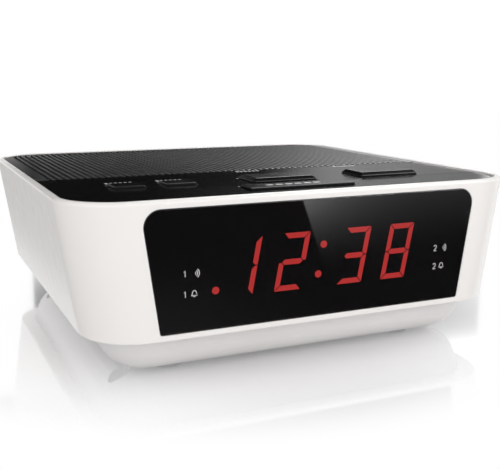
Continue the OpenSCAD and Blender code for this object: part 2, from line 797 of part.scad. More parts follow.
module speaker_cone() {
    foot = speaker_top - basket_h;
    rim = cone_rim;
    color("#303030") translate([speaker_x, speaker_y, 0]) rotate_extrude() polygon([
        [coil_r - 0.4, foot - 4], [coil_r, foot - 4], [coil_r, foot + 2], [rim, cone_tip - cone_t],
        [rim + 1.2, cone_tip - cone_t], [rim + 1.2, cone_tip], [rim - 0.2, cone_tip],
        [coil_r + 1, foot + 2 + cone_t],
        [coil_r * 0.7, foot + 4.1], [0, foot + 4.8], [0, foot + 4.3], [coil_r * 0.65, foot + 3.6],
        [coil_r - 0.4, foot + 2.4]]);
}

module speaker_suspension() {
    foot = speaker_top - basket_h;
    // Inner radius of the frame's sloping wall at height z
    function frame_in(z) = let (rim_in = speaker_r - speaker_ring_t, top = speaker_top - 1)
        rim_in - (rim_in - basket_r + 1.2) * max(0, top - z) / (top - foot);
    edge = cone_rim + 1.9;
    tip = cone_tip;
    color("black") translate([speaker_x, speaker_y, 0]) {
        // The rubber surround, a half roll between the cone and the frame
        rotate_extrude() polygon([[edge - 1.4, tip], [edge - 0.5, tip], [edge - 0.3, tip + 1],
            [edge + 0.6, tip + 1.6], [edge + 1.2, tip + 1.2], [frame_in(tip + 0.3) - 0.1, tip + 0.3],
            [frame_in(tip + 0.7) - 0.1, tip + 0.7], [edge + 1.7, tip + 1.7], [edge + 0.6, tip + 2.1],
            [edge - 0.7, tip + 1.4], [edge - 1.4, tip + 0.5]]);
        // The wavy cloth spider between the voice coil and the basket
        rotate_extrude() polygon([[coil_r, foot + 1], [coil_r + 2, foot + 1.4], [coil_r + 4, foot + 0.7],
            [coil_r + 6, foot + 1.4], [basket_r - 1.2, foot], [basket_r - 1.2, foot + 0.4],
            [coil_r + 6, foot + 1.8], [coil_r + 4, foot + 1.1], [coil_r + 2, foot + 1.8],
            [coil_r, foot + 1.4]]);
    }
}

module speaker_screws() {
    color("silver") translate([speaker_x, speaker_y, speaker_top - frame_rim_t])
        for (a = speaker_angles) rotate(a) translate([speaker_tab_r, 0, 0]) screw(small_screw_r, 2.4);
}

// ---------- main board ----------

module main_board() {
    color("#7a5a20") difference() {
        block(-board_hx, board_hx, board_front, board_back, board_z, board_top);
        for (p = board_screw_places) translate(p) rod(1.2, board_z - 1, board_top + 1);
    }
}

module main_board_screws() {
    color("silver") for (p = board_screw_places) translate([p[0], p[1], board_top])
        mirror([0, 0, 1]) screw(display_screw_r, 5.5);
}

// A chip with a row of legs along each long side
module chip(l, w, h, legs) {
    block(-l / 2, l / 2, -w / 2, w / 2, 0.3, h);
    for (i = [0:legs - 1], s = [-1, 1]) {
        x = -l / 2 + (i + 0.5) * l / legs;
        translate([x, s * (w / 2 + 0.5), 0.45]) cube([0.5, 1.4, 0.9], center = true);
    }
}

module chips() {
    color("#202020") translate([0, board_front, board_top]) {
        translate([-14, 26, 0]) chip(17.8, 7.4, 2.6, 12);
        translate([22, 20, 0]) chip(12.6, 7.4, 2.4, 9);
    }
}

module can(x, y, r, h) {
    translate([x, board_front + y, board_top]) rotate_extrude() polygon([[0, 0], [r, 0], [r, 0.8],
        [r - 0.3, 1.2], [r, 1.6], [r, h - 0.4], [r - 0.4, h], [0, h]]);
}

module capacitors() {
    color("midnightblue") {
        can(-36, 20, 5, 16);
        can(-36, 33, 4, 11.5);
        can(-27, 14, 2.5, 11);
        can(8, 30, 2.5, 11);
        can(8, 38, 2, 7);
        can(39, 24, 3.2, 11.5);
    }
}

module coil_cans() {
    color("silver") for (x = [20, 31]) difference() {
        block(x - 3.7, x + 3.7, board_back - 17, board_back - 9.6, board_top, board_top + 8.5);
        translate([x, board_back - 13.3, 0]) rod(1.6, board_top + 6.5, board_top + 10);
    }
}

module clock_crystal() {
    color("silver") translate([4, board_front + 17, board_top + 1.7]) rotate([0, 90, 0]) {
        cylinder(r = 1.5, h = 6.2);
        for (s = [-1, 1]) translate([0, s * 0.5, -1.6]) cylinder(r = 0.2, h = 1.6);
        translate([0.3, -1.2, 0.8]) cube([1.4, 2.4, 4]);
    }
}

// Where each lead plugs in on the main board: x, distance behind the board's front, width
plug_places = [[0, 7.5, 19], [32, 43, 14], [speaker_x, 44, 5], [1, 36.5, 5], [supply_x, 43, 5]];

module connectors() {
    color("ivory") for (p = plug_places) translate([p[0], board_front + p[1], 0])
        block(-p[2] / 2, p[2] / 2, -plug_d / 2, plug_d / 2, board_top, plug_top);
}

// A flat lead as wide as w: corners is its centre line as [y, z] pairs
module flat_lead(x, w, t, corners) {
    n = len(corners) - 1;
    function along(i) = let (d = corners[i + 1] - corners[i]) d / norm(d);
    function across(v) = [-v[1], v[0]];
    function side(i) = i == 0 ? across(along(0)) : i == n ? across(along(n - 1)) :
        let (m = across(along(i - 1)) + across(along(i))) m * 2 / (m * m);
    translate([x - w / 2, 0, 0]) rotate([90, 0, 90]) linear_extrude(w) polygon(concat(
        [for (i = [0:n]) corners[i] + side(i) * t / 2],
        [for (i = [n:-1:0]) corners[i] - side(i) * t / 2]));
}

module display_ribbon() {
    z = window_z - 8;
    y0 = -end_y(window_z) + led_back + board_t + (z - window_z) * -tan(end_tilt);
    y1 = board_front + plug_places[0][1];
    color("lightgray") flat_lead(0, 16, 0.9, [[y0 + 0.02, z], [y1 - 1, z], [y1, z - 1.5], [y1, plug_top]]);
}

module key_ribbon() {
    y0 = key_y + 6;
    z0 = key_board_top - board_t;
    y1 = board_front + plug_places[1][1];
    color("lightgray") flat_lead(plug_places[1][0], 11, 0.9,
        [[y0, z0], [y0, z0 - 3], [y1, plug_top + 6], [y1, plug_top]]);
}

module speaker_lead() {
    y0 = speaker_y - speaker_r;
    z0 = speaker_top - 0.75;
    y1 = board_front + plug_places[2][1];
    color("firebrick") flat_lead(speaker_x, 3, 1.2, [[y0, z0], [y0 - 2, z0], [y1, z0 - 6], [y1, plug_top]]);
}

module battery_lead() {
    y0 = box_y - box_hy - box_wall;
    z0 = box_top - 2;
    y1 = board_front + plug_places[3][1];
    color("#202020") flat_lead(plug_places[3][0], 3, 1.2, [[y0, z0], [y0 - 2, z0], [y1 + 2, z0 + 5],
        [y1, z0 + 4], [y1, plug_top]]);
}

module supply_lead() {
    y0 = core_y - limb / 2 - winding_out;
    z0 = core_z + core_h / 2;
    y1 = board_front + plug_places[4][1];
    color("goldenrod") flat_lead(supply_x, 3, 1.2, [[y0, z0], [y1 + 2, z0], [y1, z0 - 2], [y1, plug_top]]);
}

// ---------- power ----------

module transformer_core() {
    color("dimgray") translate([core_x, core_y, core_z]) difference() {
        block(-core_t / 2, core_t / 2, -core_l / 2, core_l / 2, 0, core_h);
        for (s = [-1, 1]) translate([0, s * (limb / 2 + (core_l / 2 - yoke - limb / 2) / 2), core_h / 2])
            cube([core_t + 2, core_l / 2 - yoke - limb / 2, core_h - 2 * yoke], center = true);
    }
}

module transformer_winding() {
    h = core_h - 2 * yoke - 2 * winding_gap;
    color("khaki") translate([core_x, core_y, core_z + core_h / 2 - h / 2]) difference() {
        union() {
            translate([0, 0, 1]) linear_extrude(h - 2) plan(core_t / 2 + winding_out - 0.6,
                limb / 2 + winding_out - 0.6, 1.5);
            for (z = [0, h - 1]) translate([0, 0, z]) linear_extrude(1)
                plan(core_t / 2 + winding_out, limb / 2 + winding_out, 1);
        }
        block(-core_t / 2 - winding_gap / 3, core_t / 2 + winding_gap / 3, -limb / 2 - winding_gap / 3,
            limb / 2 + winding_gap / 3, -1, h + 1);
    }
}

module transformer_bracket() {
    hy = core_l / 2 + ear_l;
    strap = core_t / 2;
    color("silver") translate([core_x, core_y, 0]) difference() {
        union() {
            block(-strap, strap, -hy, hy, bracket_z, core_z);
            for (s = [-1, 1]) translate([0, s * (core_l / 2 + bracket_t / 2), 0])
                block(-strap * 0.7, strap * 0.7, -bracket_t / 2, bracket_t / 2, bracket_z, core_z + core_h);
            block(-strap * 0.7, strap * 0.7, -core_l / 2 - bracket_t, core_l / 2 + bracket_t,
                core_z + core_h, core_z + core_h + bracket_t);
        }
        for (s = [-1, 1]) translate([0, s * (core_l + ear_l) / 2, 0]) rod(1.5, bracket_z - 1, core_z + 1);
    }
}

module transformer_screws() {
    color("silver") for (s = [-1, 1]) translate([core_x, core_y + s * (core_l + ear_l) / 2, core_z])
        mirror([0, 0, 1]) screw(core_screw_r, 3.4);
}

module battery_door() {
    z0 = foot_h;
    color("gainsboro") difference() {
        union() {
            block(box_x - door_hx, box_x + door_hx, door_front, door_back, z0, z0 + door_t);
            block(box_x - door_hx - door_flange, box_x + door_hx + door_flange, door_front, door_back,
                z0 + door_lip + move_gap, z0 + door_t);
        }
        for (y = [door_back - 9:2:door_back - 3]) block(box_x - 8, box_x + 8, y, y + 1, z0 - 1, z0 + 0.5);
    }
}

module backup_cells() {
    r = cell_d / 2;
    color("seagreen") for (s = [-1, 1])
        translate([box_x + s * (box_hx - contact_t), box_y + s * cell_pitch / 2, cell_z])
            rotate([0, -s * 90, 0]) rotate_extrude() polygon([[0, 0], [1.9, 0], [1.9, 1], [r - 0.5, 1],
                [r, 1.4], [r, cell_l - 0.5], [r - 0.5, cell_l], [0, cell_l]]);
}

// A conical spring: rings of points around a helix that widens from r0 to r1 over its length
module coil_spring(r0, r1, length, turns, wire_r) {
    n = 14 * turns;
    function ring(i) = let (k = i / n, a = 360 * turns * k, r = r0 + (r1 - r0) * k)
        [for (j = [0:5]) [(r + wire_r * cos(60 * j)) * cos(a), (r + wire_r * cos(60 * j)) * sin(a),
            wire_r + (length - 2 * wire_r) * k + wire_r * sin(60 * j)]];
    points = [for (i = [0:n]) each ring(i)];
    sides = [for (i = [0:n - 1], j = [0:5]) let (k = (j + 1) % 6)
        [6 * i + j, 6 * i + k, 6 * (i + 1) + k, 6 * (i + 1) + j]];
    polyhedron(points, concat([[5, 4, 3, 2, 1, 0]], sides, [[for (j = [0:5]) 6 * n + j]]));
}

module battery_contacts() {
    h = cell_d - 1.5;
    color("silver") for (s = [-1, 1]) {
        for (t = [-1, 1])
            translate([box_x + s * (box_hx - contact_t / 2), box_y + t * cell_pitch / 2, cell_z])
                cube([contact_t, h, h], center = true);
        translate([box_x - s * (box_hx - contact_t), box_y + s * cell_pitch / 2, cell_z])
            rotate([0, s * 90, 0]) coil_spring(3.6, 2.2, spring_l, 3, 0.25);
    }
}

housing_shell();
top_deck();
base_tray();
display_window();
display_mask();
led_reflector();
led_segments_on();
led_segments_off();
display_board();
display_screws();
source_key();
set_key();
tuning_rocker();
volume_rocker();
rocker_pins();
snooze_bar();
rubber_keypad();
key_board();
key_board_screws();
speaker_frame();
speaker_magnet();
speaker_cone();
speaker_suspension();
speaker_screws();
main_board();
main_board_screws();
chips();
capacitors();
coil_cans();
clock_crystal();
connectors();
display_ribbon();
key_ribbon();
speaker_lead();
battery_lead();
supply_lead();
transformer_core();
transformer_winding();
transformer_bracket();
transformer_screws();
battery_door();
backup_cells();
battery_contacts();
rubber_feet();
case_screws();
cord_gland();
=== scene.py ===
"""Looks of a compact bedside clock radio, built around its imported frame.

Metres, in the frame's own axes: +X is the user's right, -Y the front, +Z up, with the origin
under the middle of the footprint. New pieces are surfaces worked out with numpy; their places
come from the frame's boxes.
"""

import json
import math

import bmesh
import bpy
import numpy as np
from bpy.props import FloatProperty, FloatVectorProperty, PointerProperty
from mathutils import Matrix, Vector
from mathutils.geometry import delaunay_2d_cdt


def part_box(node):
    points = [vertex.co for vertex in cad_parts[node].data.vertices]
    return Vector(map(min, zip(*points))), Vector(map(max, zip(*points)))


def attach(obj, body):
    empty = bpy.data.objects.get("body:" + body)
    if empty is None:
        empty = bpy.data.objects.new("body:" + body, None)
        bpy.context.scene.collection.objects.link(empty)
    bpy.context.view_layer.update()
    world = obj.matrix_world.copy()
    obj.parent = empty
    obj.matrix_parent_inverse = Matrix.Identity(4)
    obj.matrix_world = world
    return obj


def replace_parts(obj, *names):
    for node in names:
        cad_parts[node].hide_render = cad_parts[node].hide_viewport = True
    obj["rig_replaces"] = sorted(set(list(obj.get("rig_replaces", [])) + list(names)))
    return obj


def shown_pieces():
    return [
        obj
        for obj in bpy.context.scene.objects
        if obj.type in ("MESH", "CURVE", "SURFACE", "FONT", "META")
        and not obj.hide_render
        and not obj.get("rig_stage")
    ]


bl_info = {
    "name": "Clock radio",
    "version": (1, 0, 0),
    "blender": (4, 5, 0),
    "location": "3D View > Sidebar > Clock radio",
    "description": "Builds the visible pieces and the finishes of a bedside clock radio",
    "category": "Add Mesh",
}

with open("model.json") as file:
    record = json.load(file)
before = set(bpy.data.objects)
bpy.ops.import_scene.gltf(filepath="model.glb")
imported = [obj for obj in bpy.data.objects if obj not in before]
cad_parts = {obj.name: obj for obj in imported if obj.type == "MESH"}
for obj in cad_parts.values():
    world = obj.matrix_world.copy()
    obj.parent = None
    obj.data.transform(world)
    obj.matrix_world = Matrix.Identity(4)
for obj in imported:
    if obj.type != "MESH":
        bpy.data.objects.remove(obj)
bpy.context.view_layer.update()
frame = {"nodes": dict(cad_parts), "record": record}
CORNER_STEPS = 14      # steps round a quarter of a large corner
SMALL_STEPS = 5        # steps round a quarter of a small fillet
KEY_STEPS = 3          # steps round a quarter of a key's corner in plan
PRINT_T = 0.00002      # thickness of printed marks
SEAT_GAP = 0.00015     # between pieces that locate each other
JOIN = 0.0001          # how far a boss or a stem reaches into what carries it
SHARPEST = 0.00008     # smallest corner radius of a key's top


# ---------- places read from the frame ----------

def corners(node):
    """The lowest and the highest corner of a node as arrays."""
    low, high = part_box(node)
    return np.array(low), np.array(high)


def middle(node):
    """The middle of a node's box."""
    low, high = corners(node)
    return (low + high) / 2


# ---------- surfaces ----------

def rounded_rect(hx, hy, r, steps):
    """A rectangle of half sizes hx and hy whose corners are quarter circles of radius r about
    (+-(hx - r), +-(hy - r)), as points that run anticlockwise from the right side."""
    angle = np.radians(np.linspace(0, 90, steps + 1))[None, :] + np.radians([0, 90, 180, 270])[:, None]
    side = np.array([[1, 1], [-1, 1], [-1, -1], [1, -1]])
    x = side[:, :1] * (hx - r) + r * np.cos(angle)
    y = side[:, 1:] * (hy - r) + r * np.sin(angle)
    return np.stack([x, y], -1).reshape(-1, 2)


def ring(hx, hy, r, z, steps=CORNER_STEPS, centre=(0, 0)):
    """A level rounded rectangle at height z about a centre. With r = hx = hy it is a circle."""
    outline = rounded_rect(hx, hy, r, steps) + np.array(centre)
    return np.column_stack([outline, np.full(len(outline), z)])


def skin(rings, closed=False, openings=()):
    """Quads between neighbouring rings of the same number of points. A closed skin joins the
    last ring to the first; an open one gets a flat face on its first and last ring. openings
    lists the quads that are left out, each by its ring and its place on the ring."""
    count, n = rings.shape[:2]
    i = np.arange(count if closed else count - 1)[:, None]
    j = np.arange(n)[None, :]
    after, beside = (i + 1) % count, (j + 1) % n
    quads = np.stack([i * n + j, i * n + beside, after * n + beside, after * n + j], -1)
    kept = np.ones(quads.shape[:2], bool)
    for place in openings:
        kept[place] = False
    faces = [quads[kept]]
    if not closed:
        faces += [np.arange(n)[None, ::-1], (count - 1) * n + np.arange(n)[None]]
    return rings.reshape(-1, 3), faces


def sides(rings):
    """The quads between neighbouring rings alone, with no end faces."""
    points, faces = skin(rings)
    return points, faces[:1]


def fillet(r, steps=SMALL_STEPS, start=0, end=90):
    """Offsets along a rounded edge of radius r: (how far in, how far up) from where it starts,
    which are r (1 - cos a) and r sin a."""
    a = np.radians(np.linspace(start, end, steps + 1))
    return np.column_stack([r * (1 - np.cos(a)), r * np.sin(a)])


def rod(centre, r, z0, z1, steps=6):
    """A round bar along Z."""
    return skin(np.array([ring(r, r, r, z, steps, centre) for z in (z0, z1)]))


def tube(centre, outer, inner, z0, z1, steps=8):
    """A round tube along Z as one closed ring of four circles."""
    sizes = [(outer, z0), (outer, z1), (inner, z1), (inner, z0)]
    return skin(np.array([ring(r, r, r, z, steps, centre) for r, z in sizes]), closed=True)


def bored_block(centre, hx, hy, r, bore, z0, z1, steps=5):
    """A rounded block along Z with a round hole right through it."""
    outer, hole = (hx, hy, r), (bore, bore, bore)
    rows = [(*outer, z0), (*outer, z1), (*hole, z1), (*hole, z0)]
    return skin(np.array([ring(*row, steps, centre) for row in rows]), closed=True)


def along_y(part):
    """Turns a part that was made along Z, at its place in X and Z, to run along Y."""
    return part[0][:, [0, 2, 1]], part[1]


def flat_faces(points, loops):
    """Triangles that fill a flat outline and leave its holes open, where points are pairs and
    each loop lists the points round one edge."""
    made = delaunay_2d_cdt([Vector(p) for p in points], [], loops, 2, 1e-9)
    origin = [ids[0] for ids in made[3]]
    return np.array([[origin[v] for v in face] for face in made[2]])


def sheet(loops, axes=(0, 1)):
    """A flat or nearly flat face inside the first loop of points and outside the others, filled
    as seen along the third axis."""
    points = np.concatenate(loops)
    ends = np.cumsum([0] + [len(loop) for loop in loops])
    index = [list(range(a, b)) for a, b in zip(ends[:-1], ends[1:])]
    return points, [flat_faces(points[:, list(axes)].tolist(), index)]


def make_piece(name, parts, material, body, stands_for=(), soft_angle=32):
    """Joins parts, each its points and its groups of faces, into one mesh object with outward
    normals and with edges that are sharp above soft_angle. It rides on a body of the frame."""
    points, faces, start = [], [], 0
    for part_points, groups in parts:
        points.append(part_points)
        for group in groups:
            faces += (np.asarray(group) + start).tolist()
        start += len(part_points)
    mesh = bpy.data.meshes.new(name)
    mesh.from_pydata(np.concatenate(points).tolist(), [], faces)
    shape = bmesh.new()
    shape.from_mesh(mesh)
    bmesh.ops.remove_doubles(shape, verts=shape.verts, dist=1e-7)
    bmesh.ops.recalc_face_normals(shape, faces=shape.faces)
    shape.to_mesh(mesh)
    shape.free()
    mesh.shade_smooth()
    mesh.set_sharp_from_angle(angle=math.radians(soft_angle))
    mesh.materials.append(material)
    piece = bpy.data.objects.new(name, mesh)
    bpy.context.scene.collection.objects.link(piece)
    even = piece.modifiers.new("even_normals", "WEIGHTED_NORMAL")
    even.keep_sharp = True
    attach(piece, body)
    if stands_for:
        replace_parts(piece, *stands_for)
    return piece


# ---------- finishes ----------

class Finish:
    """A material under construction: its Principled shader and short ways to add patterns."""

    def __init__(self, name, colour, roughness, **sockets):
        self.material = bpy.data.materials.new(name)
        self.material.use_nodes = True
        self.nodes = self.material.node_tree.nodes
        self.links = self.material.node_tree.links
        self.shader = self.nodes["Principled BSDF"]
        self.shader.inputs["Base Color"].default_value = (*colour, 1)
        self.shader.inputs["Roughness"].default_value = roughness
        for socket, value in sockets.items():
            self.shader.inputs[socket.replace("_", " ")].default_value = value
        self.coordinates = self.nodes.new("ShaderNodeTexCoord").outputs["Object"]
        self.height = None

    def node(self, kind, **values):
        """A new node with its settings."""
        made = self.nodes.new(kind)
        for name, value in values.items():
            setattr(made, name, value)
        return made

    def noise(self, scale, detail=3.0, stretch=(1, 1, 1)):
        """Noise of a scale per metre, stretched along the axes."""
        place = self.node("ShaderNodeMapping")
        place.inputs["Scale"].default_value = stretch
        self.links.new(self.coordinates, place.inputs["Vector"])
        made = self.node("ShaderNodeTexNoise")
        made.inputs["Scale"].default_value = scale
        made.inputs["Detail"].default_value = detail
        self.links.new(place.outputs["Vector"], made.inputs["Vector"])
        return made.outputs["Fac"]

    def between(self, factor, low, high):
        """A factor of 0.3 to 0.7 mapped to low and high."""
        made = self.node("ShaderNodeMapRange")
        made.inputs["From Min"].default_value = 0.3
        made.inputs["From Max"].default_value = 0.7
        made.inputs["To Min"].default_value = low
        made.inputs["To Max"].default_value = high
        self.links.new(factor, made.inputs["Value"])
        return made.outputs["Result"]

    def tint(self, factor, dark, light):
        """The base colour runs from dark to light with the factor."""
        made = self.node("ShaderNodeMix", data_type="RGBA")
        made.inputs["A"].default_value = (*dark, 1)
        made.inputs["B"].default_value = (*light, 1)
        self.links.new(self.between(factor, 0, 1), made.inputs["Factor"])
        self.links.new(made.outputs["Result"], self.shader.inputs["Base Color"])

    def rough(self, factor, low, high):
        """The roughness runs from low to high with the factor."""
        self.links.new(self.between(factor, low, high), self.shader.inputs["Roughness"])

    def bump(self, factor, depth, strength=1.0):
        """Raises the surface by up to depth metres; a later call adds to an earlier one."""
        made = self.node("ShaderNodeBump")
        made.inputs["Strength"].default_value = strength
        made.inputs["Distance"].default_value = depth
        self.links.new(factor, made.inputs["Height"])
        if self.height is not None:
            self.links.new(self.height, made.inputs["Normal"])
        self.height = made.outputs["Normal"]
        self.links.new(self.height, self.shader.inputs["Normal"])


def shade(colour, share):
    """A colour with each channel multiplied by share."""
    return tuple(c * share for c in colour)


def moulded_plastic(name, colour, roughness, grain=0.00012, depth=0.000004, spread=0.02):
    """Injection-moulded plastic: a fine spark-eroded grain, slow drifts of tone and of gloss."""
    finish = Finish(name, colour, roughness)
    drift = finish.noise(18, 2)
    finish.tint(drift, shade(colour, 1 - spread), shade(colour, 1 + spread))
    finish.rough(finish.noise(240, 3), roughness * 0.9, roughness * 1.1)
    finish.bump(finish.noise(1 / grain, 2), depth)
    return finish


def metal(name, colour, roughness, along=(1, 1, 1)):
    """Plated or rolled metal with faint draw marks along an axis."""
    finish = Finish(name, colour, roughness, Metallic=1.0)
    marks = finish.noise(900, 4, along)
    finish.tint(finish.noise(60, 2), shade(colour, 0.92), shade(colour, 1.0))
    finish.rough(marks, roughness * 0.75, roughness * 1.25)
    finish.bump(marks, 0.000006)
    return finish


def circuit_board(name, mask, copper):
    """A printed board: solder mask over raised tracks that run in two directions, with pads."""
    finish = Finish(name, mask, 0.35)
    tracks = finish.node("ShaderNodeTexBrick", offset=0.37, squash=0.6, squash_frequency=3)
    tracks.inputs["Scale"].default_value = 190
    tracks.inputs["Mortar Size"].default_value = 0.045
    finish.links.new(finish.coordinates, tracks.inputs["Vector"])
    finish.tint(tracks.outputs["Fac"], mask, copper)
    finish.rough(finish.noise(500, 2), 0.28, 0.42)
    finish.bump(tracks.outputs["Fac"], 0.00003)
    return finish


def banded(name, dark, light, roughness, scale, direction="Z", metallic=0.0):
    """Layers or turns seen from the side, such as laminations, wound tape or a ribbon's wires."""
    finish = Finish(name, light, roughness, Metallic=metallic)
    bands = finish.node("ShaderNodeTexWave", wave_type="BANDS", bands_direction=direction)
    bands.inputs["Scale"].default_value = scale
    bands.inputs["Distortion"].default_value = 0.15
    finish.links.new(finish.coordinates, bands.inputs["Vector"])
    finish.tint(bands.outputs["Fac"], dark, light)
    finish.bump(bands.outputs["Fac"], 0.00004)
    finish.rough(finish.noise(300, 2), roughness * 0.85, roughness * 1.15)
    return finish


# ---------- sizes and colours that a user may change ----------

def size(name, description, default):
    """A length property, in metres."""
    return FloatProperty(name=name, description=description, default=default, precision=5,
                         subtype="DISTANCE", unit="LENGTH")


def colour(name, description, default):
    """A linear colour property."""
    return FloatVectorProperty(name=name, description=description, default=default, size=3,
                               min=0, max=1, subtype="COLOR")


class CaseSizes(bpy.types.PropertyGroup):
    """The white sleeve round the case."""
    side_lean: size("Side lean", "How far each side leans in from the rim to the foot", 0.00516)
    end_lean: size("End lean", "How far the front and the back lean in", 0.00055)
    rim_chamfer: size("Widest below rim", "How far below the rim the sleeve is widest", 0.0007)
    corner: size("Corner", "Corner radius in plan", 0.016)
    wall: size("Wall", "Thickness of the wall", 0.0028)
    rim_round: size("Rim rounding", "Radius of the rim's outer edge", 0.0011)
    lip_round: size("Lip rounding", "Radius of the rim's inner edge", 0.0005)
    foot_round: size("Foot rounding", "Radius of the lower edge", 0.0006)
    ledge: size("Ledge", "Width of the ledge that the deck rests on", 0.0032)
    ledge_height: size("Ledge height", "Height of that ledge", 0.003)
    flange: size("Flange", "Height of the lower flange", 0.0024)
    base_corner: size("Base opening corner", "Corner radius of the opening for the base", 0.0119)
    base_overlap: size("Base overlap", "How far the flange covers the base's edge", 0.0011)
    boss: size("Boss", "Radius of the bosses that carry the display board", 0.0026)
    boss_x: size("Boss place", "Distance of those bosses from the middle", 0.0502)
    boss_z: size("Boss height", "Distance of those bosses above and below the middle", 0.0085)
    boss_bore: size("Boss bore", "Radius of their screw holes", 0.0009)
    board_depth: size("Board depth", "Depth of the display board behind the front", 0.0089)
    aerial_x: size("Aerial place", "Distance of the aerial's hole from the middle", 0.048)
    aerial_bore: size("Aerial hole", "Radius of the aerial's hole", 0.0012)


class WindowSizes(bpy.types.PropertyGroup):
    """The display window and its opening."""
    height: size("Height", "Height of the window", 0.03186)
    drop: size("Drop", "How far the window sits below its node's middle", 0.0002)
    top: size("Half top", "Half the window's width at its top", 0.04945)
    bottom: size("Half bottom", "Half the window's width at its bottom", 0.045)
    corner: size("Upper corner", "Radius of the upper corners", 0.0043)
    foot_corner: size("Lower corner", "Radius of the lower corners", 0.0006)
    thickness: size("Thickness", "Thickness of the window", 0.0018)
    gap: size("Gap", "Gap round the window", 0.0001)
    ledge: size("Ledge", "Width of the ledge behind the window's edge", 0.002)
    edge: size("Window edge", "Radius of the window's front edge", 0.0002)
    clear_height: size("Clear height", "Height of the clear field over the digits", 0.0214)
    clear_place: size("Clear place", "Its middle above the window's middle", -0.0006)
    opening_edge: size("Opening edge", "Radius of the opening's front edge", 0.0002)


class DeckSizes(bpy.types.PropertyGroup):
    """The black deck with its ribs."""
    thickness: size("Thickness", "Thickness of the deck", 0.0026)
    gap: size("Gap", "Gap between the deck and the sleeve", 0.00015)
    corner: size("Corner", "Corner radius of the opening for the deck", 0.0139)
    edge: size("Edge", "Radius of the deck's upper edges", 0.00025)
    strip: size("Strip", "Depth of the sloping strip in front", 0.0175)
    strip_fall: size("Strip fall", "Fall of that strip at its front edge", 0.0005)
    crease_step: size("Crease step", "Step down from the level part to the strip", 0.00003)
    level_drop: size("Level drop", "How far the level part lies below the ribs' crests", 0.0002)
    riser: size("Riser", "Depth of the slope up to the crests", 0.00012)
    rib_pitch: size("Rib pitch", "Distance from one rib to the next", 0.002065)
    rib_depth: size("Rib depth", "Depth of the grooves between the ribs", 0.0007)
    rib_margin: size("Rib margin", "Plain margin beside and behind the ribs", 0.0022)
    rib_front: size("Rib front", "Where the ribs begin, from front to back", -0.0142)
    rib_ramp: size("Rib ramp", "Length of the ramp at the ends of a groove", 0.00035)
    speaker_opening: size("Sound opening", "Radius of the field of sound slots", 0.0225)
    key_gap: size("Key gap", "Gap round a key", 0.0003)
    rocker_gap: size("Rocker gap", "Gap at the ends of a rocker", 0.00045)
    hole_corner: size("Hole corner", "Corner radius of the holes for the keys", 0.0004)


class KeySizes(bpy.types.PropertyGroup):
    """The keys, the rockers and the snooze bar."""
    flange_out: size("Flange", "How far a key's flange reaches past its cap", 0.0012)
    flange_height: size("Flange height", "Thickness of that flange", 0.001)
    flange_below: size("Flange place", "Top of the flange below the deck's upper face", 0.0029)
    key_edge: size("Key edge", "Radius of a key's upper edge", 0.0003)
    corner: size("Corner", "Corner radius of a key in plan", 0.0004)
    stem: size("Stem", "Radius of the stems under the keys", 0.0016)
    snooze_reach: size("Snooze stems", "Distance of the snooze bar's stems from its middle", 0.009)
    rocker_reach: size("Rocker stems", "Distance of a rocker's stems from its middle", 0.0075)
    end_run: size("Rocker end", "Length of the chamfer at a rocker's ends", 0.001)
    end_fall: size("Rocker end fall", "Fall of that chamfer", 0.0009)
    rocker_inset: size("Rocker inset", "How far a rocker's ends stay inside its node's", 0.0013)
    side_run: size("Rocker side", "Chamfer along a rocker's sides", 0.0009)
    hub: size("Hub", "Radius of a rocker's hub", 0.0019)
    hub_bore: size("Hub bore", "Radius of the bore for the pivot pin", 0.00085)
    pivot_below: size("Pivot place", "Pivot below the deck's upper face", 0.0039)


class Colours(bpy.types.PropertyGroup):
    """Colours of the finishes that show from outside."""
    shell: colour("Sleeve", "White plastic of the sleeve", (0.87, 0.842, 0.822))
    # The base's colour is a warm grey, darker than the sleeve's white: the pale plastic's own tone with
    # painted shade from under the sleeve's edge added into it.
    base: colour("Base", "Pale plastic of the base", (0.745, 0.722, 0.722))
    deck: colour("Deck", "Black plastic of the deck", (0.0042, 0.0042, 0.0044))
    keys: colour("Keys", "Black plastic of the keys", (0.0036, 0.0036, 0.0038))
    window: colour("Window", "Tint of the smoked window", (0.10, 0.09, 0.095))
    lit: colour("Lit segment", "Light of a lit segment", (1.0, 0.078, 0.070))
    printed: colour("Print", "Ink of the printed marks", (0.55, 0.55, 0.54))


class StageLook(bpy.types.PropertyGroup):
    """The camera, the floor and the light."""
    camera_place: FloatVectorProperty(
        name="Camera", description="Place of the camera", size=3, subtype="TRANSLATION",
        unit="LENGTH", precision=5, default=(-0.102875, -0.250210, 0.077611))
    camera_target: FloatVectorProperty(
        name="Target", description="Point that the camera looks at", size=3,
        subtype="TRANSLATION", unit="LENGTH", precision=5, default=(0.008614, 0.0, 0.023389))
    lens: FloatProperty(name="Lens", description="Focal length on a 36 mm sensor",
                        default=58.195, subtype="NONE")
    ambient: FloatProperty(name="Ambient", description="Strength of the light from all round",
                           default=0.66, min=0)
    key_power: FloatProperty(name="Key lamp", description="Power of the lamp at the right",
                             default=2.8, min=0, subtype="POWER", unit="POWER")
    fill_power: FloatProperty(name="Fill lamp", description="Power of the lamp at the left",
                              default=2.2, min=0, subtype="POWER", unit="POWER")
    top_power: FloatProperty(name="Top lamp", description="Power of the lamp overhead",
                             default=0.6, min=0, subtype="POWER", unit="POWER")
    gloss: FloatProperty(name="Floor gloss", description="Share of the floor's mirror image",
                         default=0.68, min=0, max=1, subtype="FACTOR")


class ClockRadio(bpy.types.PropertyGroup):
    """All that can be set on the clock radio."""
    case: PointerProperty(type=CaseSizes)
    window: PointerProperty(type=WindowSizes)
    deck: PointerProperty(type=DeckSizes)
    keys: PointerProperty(type=KeySizes)
    colours: PointerProperty(type=Colours)
    stage: PointerProperty(type=StageLook)


# ---------- finishes by the record's slots ----------

SLOT_OF = {part["node"]: part["material_slot"] for part in frame["record"]["subparts"]}
made_finishes = {}


